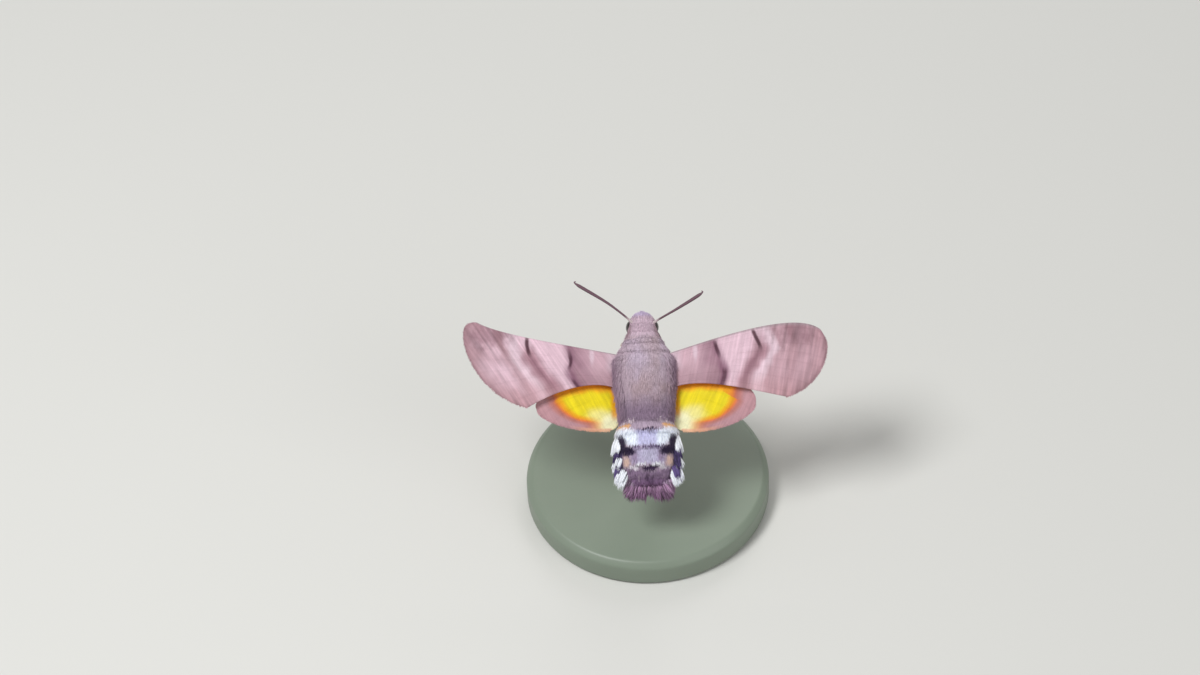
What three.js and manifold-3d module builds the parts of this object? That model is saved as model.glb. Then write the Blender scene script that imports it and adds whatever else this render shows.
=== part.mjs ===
// A hummingbird hawk moth, life size, hovering on a plain display stand. Millimetres, +Z up.
// The moth is drawn in its own frame: x to its right, y towards its head, z out of its back.
// The moth's group then pitches it head up and lifts it over the stand, whose underside is the origin.
import * as THREE from "three";
import { mergeVertices } from "three/addons/utils/BufferGeometryUtils.js";
import Module from "manifold-3d";

const wasm = await Module();
wasm.setup();

// Pose and stand
const PITCH = THREE.MathUtils.degToRad(36);
const HOVER_HEIGHT = 24;
const HOVER_FORWARD = 1.1;
const BASE_RADIUS = 17;
const BASE_THICKNESS = 4;
const BASE_BEVEL = 0.8;
const BOSS_RADIUS = 2.4;
const BOSS_HEIGHT = 1.2;
const ROD_RADIUS = 0.6;
const SOCKET_DEPTH = 2.6;

// Gap between two pieces that touch
const GAP = 0.3;

// Driving sizes of the moth
const HALF_SPAN = 25;
const THORAX_HALF_WIDTH = 4.4;
const THORAX_FRONT = 5.35;
const THORAX_REAR = -6.1;
const HEAD_HALF_WIDTH = 2.2;
const ABDOMEN_HALF_WIDTH = 4.35;
const ABDOMEN_END = -15.4;
const EYE_RADIUS = 1.15;
const FEELER_RADIUS = 0.36;
const WING_THICKNESS = 0.5;
const VEIN_HEIGHT = 0.13;
const DIHEDRAL = THREE.MathUtils.degToRad(8);
const WING_ROOT_HEIGHT = 0.95;
const HINDWING_DROP = 1.2;
const SEGMENT_STEP = 0.14;
const LOCK_THICKNESS = 0.6;

const COLOURS = {
  coat: 0xb19bb1,
  collar: 0xbba1ba,
  abdomen: 0x8d7292,
  tail: 0x533352,
  forewing: 0xd0b0be,
  hindwing: 0xe3b41c,
  feeler: 0x5c4450,
  eye: 0x2a1c18,
  proboscis: 0x3b2a22,
  leg: 0xb8a698,
  palp: 0xe4dede,
  base: 0x84907f,
  rod: 0xb9bcc0,
};

// Small differences between pieces of one kind, the same each time.
function varied(seed) {
  let state = seed;
  return (low, high) => {
    state = (state * 1664525 + 1013904223) % 4294967296;
    return low + ((high - low) * state) / 4294967296;
  };
}

// Mixes the numbers of a table's rows smoothly at y. The rows run from the largest y to the smallest.
function rowAt(rows, y) {
  const i = Math.min(Math.max(rows.findLastIndex((row) => row.y >= y), 0), rows.length - 2);
  const f = THREE.MathUtils.clamp((rows[i].y - y) / (rows[i].y - rows[i + 1].y), 0, 1);
  const [a, b, c, d] = [rows[Math.max(i - 1, 0)], rows[i], rows[i + 1], rows[Math.min(i + 2, rows.length - 1)]];
  const mixed = {};
  for (const key of Object.keys(b)) {
    const [p, q, r, s] = [a[key], b[key], c[key], d[key]];
    mixed[key] = q + 0.5 * f * (r - p + f * (2 * p - 5 * q + 4 * r - s + f * (3 * (q - r) + s - p)));
  }
  return mixed;
}

// A closed surface over rings of points that all have the same count, with a cap at each end.
function skinOver(rings) {
  const sides = rings[0].length;
  const centre = (ring) => ring.reduce((sum, p) => sum.add(p), new THREE.Vector3()).divideScalar(sides);
  const points = [...rings.flat(), centre(rings[0]), centre(rings.at(-1))];
  const faces = [];
  for (let i = 0; i < rings.length - 1; i++) {
    for (let j = 0; j < sides; j++) {
      const k = (j + 1) % sides;
      const [a, b, c, d] = [i * sides + j, i * sides + k, (i + 1) * sides + k, (i + 1) * sides + j];
      faces.push(a, c, b, a, d, c);
    }
  }
  const first = points.length - 2;
  const lastRing = (rings.length - 1) * sides;
  for (let j = 0; j < sides; j++) {
    const k = (j + 1) % sides;
    faces.push(first, j, k);
    faces.push(first + 1, lastRing + k, lastRing + j);
  }
  return new THREE.BufferGeometry().setFromPoints(points).setIndex(faces);
}

// A body lofted along y through a table of sections: half width w, height up and depth down from z, and lag,
// by which the sides of a section trail behind its top. Each ring is a y and how far it stands out there.
function loft(rows, sides, rings, grow = 0) {
  const outlines = rings.map(([y, out], i) => {
    const row = rowAt(rows, y);
    const end = i === 0 ? grow : i === rings.length - 1 ? -grow : 0;
    return Array.from({ length: sides }, (_, j) => {
      const angle = (-2 * Math.PI * j) / sides;
      const tall = (Math.sin(angle) > 0 ? row.up : row.down) + out + grow;
      const wide = row.w + out + grow;
      const back = row.lag * Math.cos(angle) ** 2;
      return new THREE.Vector3(wide * Math.cos(angle), y + end - back, row.z + tall * Math.sin(angle));
    });
  });
  return skinOver(outlines);
}

// Rings of a smooth body, closer together towards both ends.
function smoothRings(rows, count) {
  const [front, rear] = [rows[0].y, rows.at(-1).y];
  return Array.from({ length: count + 1 }, (_, i) => {
    const even = i / count;
    const bunched = 0.5 - 0.5 * Math.cos(Math.PI * even);
    return [THREE.MathUtils.lerp(front, rear, 0.4 * even + 0.6 * bunched), 0];
  });
}

// Rings of a body in segments, each of which swells to its rear edge and steps down to the next.
function segmentRings(borders) {
  return borders.slice(0, -1).flatMap((front, i) => {
    const rear = borders[i + 1];
    return [
      [front, 0],
      [THREE.MathUtils.lerp(front, rear, 0.5), 0.6 * SEGMENT_STEP],
      [rear + 0.12, SEGMENT_STEP],
    ];
  });
}

// A tapering tube along a curve, whose half width is a function of t.
function sweep(curve, sides, steps, halfWidth) {
  const frames = curve.computeFrenetFrames(steps, false);
  const rings = [];
  for (let i = 0; i <= steps; i++) {
    const t = i / steps;
    const centre = curve.getPointAt(t);
    rings.push(
      Array.from({ length: sides }, (_, j) => {
        const angle = (2 * Math.PI * j) / sides;
        return centre
          .clone()
          .addScaledVector(frames.normals[i], -Math.cos(angle) * halfWidth(t))
          .addScaledVector(frames.binormals[i], Math.sin(angle) * halfWidth(t));
      }),
    );
  }
  return skinOver(rings);
}

function ellipsoid(centre, radii, across, around) {
  return new THREE.SphereGeometry(1, across, around).scale(...radii).translate(...centre);
}

// A flat tapered lock. It leaves its root along one direction, its broad face turned to another,
// and bows over its length so that its tip comes back to the body.
function lock(root, along, face, { length, width, thickness = LOCK_THICKNESS, bow = 0.12 }) {
  const forward = along.clone().normalize();
  const across = new THREE.Vector3().crossVectors(forward, face).normalize();
  const over = new THREE.Vector3().crossVectors(across, forward);
  const shape = [
    [0, 0.7, 0.85],
    [0.42, 1, 1],
    [0.8, 0.7, 0.7],
    [1, 0.14, 0.2],
  ];
  const rings = shape.map(([t, wide, thick]) => {
    const rise = length * bow * 4 * t * (1 - t);
    const centre = root.clone().addScaledVector(forward, t * length).addScaledVector(over, rise);
    const half = [(wide * width) / 2, (thick * thickness) / 2];
    return [
      centre.clone().addScaledVector(across, half[0]),
      centre.clone().addScaledVector(over, half[1]),
      centre.clone().addScaledVector(across, -half[0]),
      centre.clone().addScaledVector(over, -half[1]),
    ];
  });
  return skinOver(rings);
}

// Solids for joining and cutting
function solidOf(geometry) {
  const bare = geometry.clone();
  bare.deleteAttribute("normal");
  bare.deleteAttribute("uv");
  const merged = mergeVertices(bare, 1e-4);
  return new wasm.Manifold(
    new wasm.Mesh({
      numProp: 3,
      vertProperties: merged.attributes.position.array,
      triVerts: new Uint32Array(merged.index.array),
    }),
  );
}

// The geometry of a solid's largest closed surface.
function geometryOf(solid) {
  const pieces = solid.simplify(0.012).decompose();
  const largest = pieces.reduce((best, piece) => (piece.volume() > best.volume() ? piece : best));
  const mesh = largest.getMesh();
  const geometry = new THREE.BufferGeometry();
  geometry.setAttribute("position", new THREE.BufferAttribute(mesh.vertProperties, 3));
  geometry.setIndex(new THREE.BufferAttribute(mesh.triVerts, 1));
  geometry.computeVertexNormals();
  return geometry;
}

const join = (geometries) => geometries.map(solidOf).reduce((whole, piece) => whole.add(piece));
const cut = (solid, ...tools) => tools.reduce((left, tool) => left.subtract(tool), solid);
const mirrored = (side, x, y, z) => new THREE.Vector3(side * x, y, z);

// Thorax, from the neck to the fringe over the abdomen
const THORAX_ROWS = [
  { y: THORAX_FRONT, w: 0.4, up: 0.4, down: 0.4, z: 0, lag: 0 },
  { y: 5.05, w: 2.3, up: 2.25, down: 2.15, z: -0.05, lag: 0 },
  { y: 4.4, w: 2.8, up: 2.85, down: 2.8, z: 0, lag: 0 },
  { y: 3.2, w: 3.45, up: 3.5, down: 3.45, z: 0, lag: 0 },
  { y: 1.2, w: 0.97 * THORAX_HALF_WIDTH, up: 4.05, down: 3.85, z: 0, lag: 0 },
  { y: -1.2, w: THORAX_HALF_WIDTH, up: 4.1, down: 3.8, z: 0, lag: 0 },
  { y: -3.4, w: 0.92 * THORAX_HALF_WIDTH, up: 3.8, down: 3.5, z: -0.05, lag: 0.2 },
  { y: -5.0, w: 0.86 * THORAX_HALF_WIDTH, up: 3.5, down: 3.2, z: -0.1, lag: 0.6 },
  { y: -5.8, w: 0.86 * THORAX_HALF_WIDTH, up: 3.35, down: 3.05, z: -0.15, lag: 0.85 },
  { y: THORAX_REAR, w: 0.8 * THORAX_HALF_WIDTH, up: 3.05, down: 2.8, z: -0.15, lag: 0.85 },
];

// The scale tuft that covers the root of each forewing.
function tegula(side, grow = 0) {
  return ellipsoid([side * 3.35, 1.4, 1.5], [0.98 + grow, 2.1 + grow, 0.95 + grow], 12, 8);
}

function thoraxBody(grow = 0) {
  return loft(THORAX_ROWS, 26, smoothRings(THORAX_ROWS, 16), grow);
}

function thoraxSolid(grow = 0) {
  return join([thoraxBody(grow), tegula(-1, grow), tegula(1, grow)]);
}

// Head with its eyes, palps and proboscis
const HEAD_ROWS = [
  { y: 8.1, w: 0.16 * HEAD_HALF_WIDTH, up: 0.3, down: 0.3, z: -0.5, lag: 0 },
  { y: 7.6, w: 0.62 * HEAD_HALF_WIDTH, up: 1.25, down: 1.3, z: -0.42, lag: 0 },
  { y: 6.8, w: 0.91 * HEAD_HALF_WIDTH, up: 1.85, down: 1.85, z: -0.27, lag: 0 },
  { y: 6.0, w: HEAD_HALF_WIDTH, up: 2.1, down: 2.1, z: -0.15, lag: 0 },
  { y: 5.1, w: HEAD_HALF_WIDTH, up: 2.0, down: 1.95, z: -0.1, lag: 0 },
  { y: 4.4, w: 1.2, up: 1.1, down: 1.1, z: -0.1, lag: 0 },
];

function eye(side, grow = 0) {
  const radii = [EYE_RADIUS, EYE_RADIUS * 1.04, EYE_RADIUS * 1.12].map((radius) => radius + grow);
  return ellipsoid([side * 1.25, 6.2, -0.45], radii, 18, 12);
}

function headBody(grow = 0) {
  return solidOf(loft(HEAD_ROWS, 20, smoothRings(HEAD_ROWS, 11), grow));
}

function palpSolid(side, headGrown) {
  const line = new THREE.QuadraticBezierCurve3(
    mirrored(side, 1.1, 6.1, -2.3),
    mirrored(side, 0.9, 8.5, -2.2),
    mirrored(side, 0.42, 8.42, -0.25),
  );
  const fullness = (t) => 0.14 + 0.42 * Math.sin(Math.PI * Math.min(1, 0.15 + 0.85 * t)) ** 0.8;
  return cut(solidOf(sweep(line, 10, 9, fullness)), headGrown);
}

function proboscisSolid(headGrown) {
  const line = new THREE.CatmullRomCurve3([
    new THREE.Vector3(0, 6.5, -1.2),
    new THREE.Vector3(0, 7.3, -3.4),
    new THREE.Vector3(0, 7.5, -7),
    new THREE.Vector3(0, 7.7, -12),
    new THREE.Vector3(0, 9.0, -17),
    new THREE.Vector3(0, 10.6, -20),
  ]);
  return cut(solidOf(sweep(line, 7, 22, (t) => 0.34 - 0.14 * t)), headGrown);
}

// Antennae: thin at the root, thickest near the end, with a small hooked point
const FEELERS = {
  left: { side: -1, root: [1.45, 6.9, 0.9], middle: [4.6, 9.4, 2.7], tip: [8.75, 11.9, 5.0] },
  right: { side: 1, root: [1.75, 6.75, 1.0], middle: [4.8, 8.1, 3.9], tip: [8.1, 9.7, 6.9] },
};

function feelerSolid({ side, root, middle, tip }, headGrown) {
  const end = mirrored(side, ...tip);
  const line = new THREE.CatmullRomCurve3([
    mirrored(side, root[0] - 0.4, root[1] - 0.7, root[2] - 0.6),
    mirrored(side, ...root),
    mirrored(side, ...middle),
    end,
    end.clone().add(mirrored(side, 0.12, 0.42, 0.12)),
  ]);
  const thick = (t) => {
    const club = THREE.MathUtils.smoothstep(t, 0.25, 0.85);
    const point = THREE.MathUtils.smoothstep(t, 0.9, 1);
    return (0.25 + (FEELER_RADIUS - 0.25) * club) * (1 - 0.7 * point);
  };
  return cut(solidOf(sweep(line, 8, 18, thick)), headGrown);
}

// Abdomen: a broad body of overlapping rings, with tufts along its sides, ending under the tail fan
const ABDOMEN_ROWS = [
  { y: -5.0, w: 3.2, up: 2.6, down: 2.5, z: -0.2, lag: 0 },
  { y: -6.6, w: 0.9 * ABDOMEN_HALF_WIDTH, up: 3.0, down: 2.75, z: -0.25, lag: 0.15 },
  { y: -8.2, w: ABDOMEN_HALF_WIDTH, up: 3.0, down: 2.75, z: -0.35, lag: 0.3 },
  { y: -10.2, w: ABDOMEN_HALF_WIDTH, up: 2.85, down: 2.6, z: -0.5, lag: 0.3 },
  { y: -12.2, w: 0.96 * ABDOMEN_HALF_WIDTH, up: 2.5, down: 2.3, z: -0.75, lag: 0.3 },
  { y: -13.8, w: 0.82 * ABDOMEN_HALF_WIDTH, up: 1.95, down: 1.85, z: -1.05, lag: 0.3 },
  { y: -14.8, w: 0.64 * ABDOMEN_HALF_WIDTH, up: 1.45, down: 1.4, z: -1.3, lag: 0.2 },
  { y: ABDOMEN_END, w: 0.45 * ABDOMEN_HALF_WIDTH, up: 0.9, down: 0.95, z: -1.5, lag: 0.1 },
];
const SEGMENT_BORDERS = [-5.0, -6.5, -8.1, -10.3, -12.6, -14.2, ABDOMEN_END];

// Tufts on each side, from front to rear: where their roots lie, how many locks, how long, and how far they splay.
const SIDE_TUFTS = [
  { from: -8.6, to: -9.7, count: 4, length: 2.5, width: 1.0, splay: 34 },
  { from: -10.0, to: -10.9, count: 3, length: 2.1, width: 1.0, splay: 26 },
  { from: -10.9, to: -11.8, count: 4, length: 2.5, width: 1.0, splay: 36 },
  { from: -12.1, to: -12.6, count: 3, length: 2.2, width: 0.95, splay: 26 },
  { from: -12.5, to: -13.7, count: 6, length: 3.1, width: 1.05, splay: 31 },
];

// A point on the abdomen's surface, and the way out of it there. The angle is up from the side.
function abdomenPoint(side, y, angle, depth) {
  const row = rowAt(ABDOMEN_ROWS, y);
  const tall = angle > 0 ? row.up : row.down;
  const out = mirrored(side, Math.cos(angle) / row.w, 0, Math.sin(angle) / tall).normalize();
  const back = row.lag * Math.cos(angle) ** 2;
  const at = mirrored(side, row.w * Math.cos(angle), y - back, row.z + tall * Math.sin(angle));
  return { at: at.addScaledVector(out, -depth), out };
}

function sideTufts(side) {
  const vary = varied(side < 0 ? 3 : 8);
  return SIDE_TUFTS.flatMap(({ from, to, count, length, width, splay }) =>
    Array.from({ length: count }, (_, i) => {
      const place = (i + 0.5) / count;
      const angle = THREE.MathUtils.degToRad(vary(-6, 6) + (i % 2 ? 16 : -12));
      const { at, out } = abdomenPoint(side, THREE.MathUtils.lerp(from, to, place), angle, 0.55);
      const lean = THREE.MathUtils.degToRad(splay + vary(-5, 5));
      const along = out.clone().multiplyScalar(Math.sin(lean)).add(new THREE.Vector3(0, -Math.cos(lean), 0));
      const face = new THREE.Vector3(0.35 * out.x, 0, 1);
      return lock(at, along, face, { length: length * vary(0.92, 1.08), width: width * vary(0.9, 1.1) });
    }),
  );
}

function abdomenBody(grow = 0) {
  return loft(ABDOMEN_ROWS, 24, [...segmentRings(SEGMENT_BORDERS), [ABDOMEN_END, 0]], grow);
}

// Tail fan: a flat core under tiers of locks, which spread into two ragged lobes
const TAIL_CORE = [
  { y: -14.7, w: 1.9, up: 0.6, down: 0.7, z: -1.4, lag: 0 },
  { y: -15.9, w: 2.4, up: 0.6, down: 0.7, z: -1.6, lag: 0 },
  { y: -16.7, w: 2.0, up: 0.4, down: 0.4, z: -1.85, lag: 0 },
];
const TAIL_TIERS = [
  { y: -14.5, z: -0.7, count: 7, length: 2.5, spread: 2.0, fan: 27, notch: 0 },
  { y: -14.6, z: -1.15, count: 9, length: 3.3, spread: 1.9, fan: 29, notch: 0.35 },
  { y: -14.6, z: -1.6, count: 8, length: 3.55, spread: 1.6, fan: 24, notch: 0.5 },
  { y: -14.6, z: -2.05, count: 7, length: 2.7, spread: 1.6, fan: 26, notch: 0.2 },
];

function tailLocks() {
  const vary = varied(6);
  return TAIL_TIERS.flatMap(({ y, z, count, length, spread, fan, notch }) =>
    Array.from({ length: count }, (_, i) => {
      const place = (2 * i) / (count - 1) - 1;
      const turn = THREE.MathUtils.degToRad(fan * place + vary(-3, 3));
      const root = new THREE.Vector3(spread * place, y + 0.5 * (1 - place * place), z - 0.15 * place * place);
      const along = new THREE.Vector3(Math.sin(turn), -Math.cos(turn), -0.22);
      const lobe = 1 - 0.16 * Math.abs(place) ** 3 - notch * Math.exp(-((place / 0.16) ** 2)) * 0.45;
      const size = { length: length * lobe * vary(0.93, 1.05), width: 1.1, bow: 0.08 };
      return lock(root, along, new THREE.Vector3(0, 0, 1), size);
    }),
  );
}

// Wings. Each is a sheet between four edge curves, from its root to its outer margin.
const FOREWINGS = {
  left: {
    rootFront: [3.0, 2.3],
    rootRear: [3.0, -2.6],
    apex: [0.904 * HALF_SPAN, 7.5],
    tornus: [16.1, -4.4],
    costa: [[10.5, 4.0], [19.5, 5.6]],
    outer: [[26.5, 8.5], [24.2, -2.4]],
    dorsum: [[7.0, -0.4], [12.4, -2.4]],
  },
  right: {
    rootFront: [3.0, 2.2],
    rootRear: [3.0, -2.7],
    apex: [0.972 * HALF_SPAN, 4.6],
    tornus: [19.2, -4.4],
    costa: [[11.0, 4.4], [21.1, 7.3]],
    outer: [[26.3, 1.9], [24.0, -3.4]],
    dorsum: [[7.0, -0.9], [13.0, -2.9]],
  },
};
const HINDWINGS = {
  left: {
    rootFront: [3.0, -0.7],
    rootRear: [3.0, -5.9],
    apex: [15.1, -4.1],
    tornus: [5.0, -7.8],
    costa: [[8.0, -0.4], [14.2, -1.2]],
    outer: [[15.1, -6.3], [9.4, -8.0]],
    dorsum: [[3.7, -6.8], [4.1, -7.8]],
  },
  right: {
    rootFront: [3.0, -0.7],
    rootRear: [3.0, -5.9],
    apex: [15.1, -4.1],
    tornus: [5.0, -8.25],
    costa: [[8.0, -0.4], [14.2, -1.2]],
    outer: [[15.8, -6.9], [9.4, -8.9]],
    dorsum: [[3.7, -7.0], [4.1, -8.2]],
  },
};

// Veins: where each leaves the root or the cell's end, and its place across the wing there and at the margin.
const FORE_VEINS = [
  { from: 0, v: 0.07 },
  { from: 0.1, v: 0.17 },
  { from: 0.42, v: 0.29 },
  { from: 0.42, v: 0.4 },
  { from: 0.42, v: 0.51 },
  { from: 0.42, v: 0.62 },
  { from: 0, v: 0.73 },
  { from: 0, v: 0.9 },
];
const HIND_VEINS = [
  { from: 0, v: 0.1 },
  { from: 0.4, v: 0.25 },
  { from: 0.4, v: 0.41 },
  { from: 0.4, v: 0.57 },
  { from: 0, v: 0.73 },
  { from: 0, v: 0.88 },
];
const VEIN_HALF_WIDTH = 0.018;
const CELL_END = 0.42;

// Height of the wings' common sheet over the body's middle plane, x outwards.
function sheetHeight(x, y) {
  const out = Math.max(0, x - 3);
  const fromAxis = y - (1.2 + 0.06 * out);
  return WING_ROOT_HEIGHT + out * Math.tan(DIHEDRAL) - 0.0022 * out * out - 0.01 * fromAxis * fromAxis;
}

function edge([ax, ay], [[bx, by], [cx, cy]], [dx, dy]) {
  const at = (x, y) => new THREE.Vector2(x, y);
  return new THREE.CubicBezierCurve(at(ax, ay), at(bx, by), at(cx, cy), at(dx, dy));
}

// A point of the wing's outline patch: s from root to outer margin, v from leading to rear edge.
function wingPatch(wing) {
  const front = edge(wing.rootFront, wing.costa, wing.apex);
  const rear = edge(wing.rootRear, wing.dorsum, wing.tornus);
  const outer = edge(wing.apex, wing.outer, wing.tornus);
  const corner = (pair) => new THREE.Vector2(...pair);
  const [f, r, a, t] = [wing.rootFront, wing.rootRear, wing.apex, wing.tornus].map(corner);
  return (s, v) => {
    const across = front.getPoint(s).multiplyScalar(1 - v).addScaledVector(rear.getPoint(s), v);
    const along = f.clone().lerp(r, v).multiplyScalar(1 - s).addScaledVector(outer.getPoint(v), s);
    const corners = f.clone().lerp(r, v).multiplyScalar(1 - s).addScaledVector(a.clone().lerp(t, v), s);
    return across.add(along).sub(corners);
  };
}

// How far the veins stand out of the membrane at a station s and a line v.
function veinHeight(veins, s, v) {
  const cell = [veins.find(({ from }) => from === 0).v, veins.findLast(({ from, v: at }) => !from && at < 0.8).v];
  const crossing = Math.abs(s - CELL_END) < 1e-6 && v > cell[0] && v < cell[1];
  const onVein = veins.some((vein) => s >= vein.from && Math.abs(v - vein.v) < 1e-6);
  return onVein || crossing ? VEIN_HEIGHT * (1 - 0.45 * s) : 0;
}

function wingGeometry(wing, side, drop, veins, count) {
  const patch = wingPatch(wing);
  const lines = [0, ...veins.flatMap(({ v }) => [v - VEIN_HALF_WIDTH, v, v + VEIN_HALF_WIDTH]), 1];
  const even = Array.from({ length: count + 1 }, (_, i) => 1 - (1 - i / count) ** 1.25);
  const nearCell = (s) => Math.abs(s - CELL_END) < 0.5 / count;
  const stations = [...even.filter((s) => !nearCell(s)), CELL_END - 0.02, CELL_END, CELL_END + 0.02];
  stations.sort((a, b) => a - b);
  const faces = { top: [], bottom: [] };
  for (const s of stations) {
    for (const v of lines) {
      const p = patch(s, v);
      const middle = sheetHeight(p.x, p.y) - drop;
      const half = WING_THICKNESS / 2 + veinHeight(veins, s, v);
      const root = 0.3 * (1 - s) ** 4;
      faces.top.push(mirrored(side, p.x, p.y, middle + half + (drop ? 0 : root)));
      faces.bottom.push(mirrored(side, p.x, p.y, middle - half - (drop ? root : 0)));
    }
  }
  const [n, m] = [stations.length, lines.length];
  const under = n * m;
  const index = [];
  const quad = (a, b, c, d) => index.push(a, b, c, a, c, d);
  for (let i = 0; i < n - 1; i++) {
    for (let k = 0; k < m - 1; k++) {
      const [a, b, c, d] = [i * m + k, i * m + k + 1, (i + 1) * m + k + 1, (i + 1) * m + k];
      quad(a, b, c, d);
      index.push(under + a, under + c, under + b, under + a, under + d, under + c);
    }
    const [front, rear] = [i * m, i * m + m - 1];
    quad(front, front + m, under + front + m, under + front);
    quad(rear + m, rear, under + rear, under + rear + m);
  }
  for (let k = 0; k < m - 1; k++) {
    const outer = (n - 1) * m + k;
    quad(k + 1, k, under + k, under + k + 1);
    quad(outer, outer + 1, under + outer + 1, under + outer);
  }
  if (side < 0) {
    for (let i = 0; i < index.length; i += 3) [index[i + 1], index[i + 2]] = [index[i + 2], index[i + 1]];
  }
  return new THREE.BufferGeometry().setFromPoints([...faces.top, ...faces.bottom]).setIndex(index);
}

// Legs, folded back under the body. Each runs through its hip, knee, ankle and claw.
const LEGS = {
  fore: { hip: [1.3, 2.6, -3.0], knee: [2.6, 4.2, -4.6], ankle: [1.8, 1.4, -5.5], claw: [1.6, -1.6, -5.7] },
  mid: { hip: [1.7, 0.2, -3.0], knee: [3.7, 1.8, -4.3], ankle: [2.9, -2.2, -5.0], claw: [2.4, -6.0, -5.5] },
  hind: { hip: [1.7, -2.6, -2.9], knee: [4.1, -4.2, -4.0], ankle: [3.1, -8.4, -4.9], claw: [2.4, -13.0, -5.2] },
};

function legSolid(side, { hip, knee, ankle, claw }, thoraxGrown) {
  const [h, k, a, c] = [hip, knee, ankle, claw].map((p) => mirrored(side, ...p));
  const line = new THREE.CatmullRomCurve3(
    [h.clone().add(new THREE.Vector3(0, 0, 0.9)), h, h.clone().lerp(k, 0.75), k, k.clone().lerp(a, 0.4), a, c],
    false,
    "centripetal",
  );
  const thick = (t) => 0.52 - 0.27 * THREE.MathUtils.smoothstep(t, 0.1, 0.7) - 0.06 * t;
  const shaft = sweep(line, 7, 18, thick);
  const down = a.clone().sub(k).normalize();
  const spurs = [-1, 1].map((turn) => {
    const along = down.clone().add(new THREE.Vector3(0.45 * turn, 0, -0.35));
    return lock(a, along, new THREE.Vector3(0, 0, 1), { length: 1.5, width: 0.5, thickness: 0.5, bow: 0 });
  });
  return cut(join([shaft, ...spurs]), thoraxGrown);
}

// Stand
function baseGeometry() {
  const top = BASE_THICKNESS + BOSS_HEIGHT;
  const profile = [
    [0, 0],
    [BASE_RADIUS - BASE_BEVEL / 2, 0],
    [BASE_RADIUS, BASE_BEVEL / 2],
    [BASE_RADIUS, BASE_THICKNESS - BASE_BEVEL],
    [BASE_RADIUS - BASE_BEVEL, BASE_THICKNESS],
    [BOSS_RADIUS + 0.5, BASE_THICKNESS],
    [BOSS_RADIUS, BASE_THICKNESS + 0.4],
    [BOSS_RADIUS - 0.3, top],
    [ROD_RADIUS + GAP, top],
    [ROD_RADIUS + GAP, top - SOCKET_DEPTH],
    [0, top - SOCKET_DEPTH],
  ].map(([x, y]) => new THREE.Vector2(x, y));
  return new THREE.LatheGeometry(profile, 40).rotateX(Math.PI / 2);
}

function rodSolid(bellyGrown) {
  const foot = BASE_THICKNESS + BOSS_HEIGHT - SOCKET_DEPTH + GAP;
  const length = HOVER_HEIGHT - foot;
  const rod = new THREE.CylinderGeometry(ROD_RADIUS, ROD_RADIUS, length, 16).rotateX(Math.PI / 2);
  return cut(solidOf(rod.translate(0, 0, foot + length / 2)), bellyGrown);
}

// Assembly
const part = new THREE.Group();
const moth = new THREE.Group();
moth.rotation.x = PITCH;
moth.position.set(0, HOVER_FORWARD, HOVER_HEIGHT);
moth.updateMatrix();
part.add(moth);

function place(parent, name, geometry, color, roughness = 0.85, metalness = 0) {
  const mesh = new THREE.Mesh(geometry, new THREE.MeshStandardMaterial({ color, roughness, metalness }));
  mesh.name = name;
  parent.add(mesh);
}

// What the neighbouring pieces are cut back from
const sockets = [-1, 1].map((side) => solidOf(eye(side, GAP)));
const thoraxGrown = thoraxSolid(GAP);
const headGrown = headBody(GAP);
const abdomenGrown = solidOf(abdomenBody(GAP));
const tail = cut(join([loft(TAIL_CORE, 16, smoothRings(TAIL_CORE, 5)), ...tailLocks()]), abdomenGrown);
const abdomen = cut(join([abdomenBody(), ...sideTufts(-1), ...sideTufts(1)]), thoraxGrown);

place(moth, "thorax", geometryOf(cut(thoraxSolid(), ...sockets)), COLOURS.coat);
place(moth, "head", geometryOf(cut(headBody(), thoraxGrown, ...sockets)), COLOURS.collar);
place(moth, "abdomen", geometryOf(abdomen), COLOURS.abdomen);
place(moth, "tail_fan", geometryOf(tail), COLOURS.tail);
place(moth, "proboscis", geometryOf(proboscisSolid(headGrown)), COLOURS.proboscis, 0.4);

for (const [name, side] of [["left", -1], ["right", 1]]) {
  const forewing = solidOf(wingGeometry(FOREWINGS[name], side, 0, FORE_VEINS, 11));
  const hindwing = solidOf(wingGeometry(HINDWINGS[name], side, HINDWING_DROP, HIND_VEINS, 8));
  place(moth, `forewing_${name}`, geometryOf(cut(forewing, thoraxGrown)), COLOURS.forewing);
  place(moth, `hindwing_${name}`, geometryOf(cut(hindwing, thoraxGrown, abdomenGrown)), COLOURS.hindwing);
  place(moth, `antenna_${name}`, geometryOf(feelerSolid(FEELERS[name], headGrown)), COLOURS.feeler);
  place(moth, `eye_${name}`, eye(side), COLOURS.eye, 0.2);
  place(moth, `palp_${name}`, geometryOf(palpSolid(side, headGrown)), COLOURS.palp);
  for (const [pair, leg] of Object.entries(LEGS)) {
    place(moth, `leg_${pair}_${name}`, geometryOf(legSolid(side, leg, thoraxGrown)), COLOURS.leg);
  }
}

place(part, "stand_base", baseGeometry(), COLOURS.base, 0.45);
const bellyGrown = solidOf(thoraxBody(GAP).applyMatrix4(moth.matrix));
place(part, "stand_rod", geometryOf(rodSolid(bellyGrown)), COLOURS.rod, 0.25, 1);

export default part;
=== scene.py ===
"""Dresses the hummingbird hawk moth on its display stand: skin, coat, wings, feelers, legs and finishes."""

import math

import bpy
import numpy as np
from bpy.props import FloatProperty, FloatVectorProperty, IntProperty, PointerProperty
from mathutils import Matrix, Vector


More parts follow.
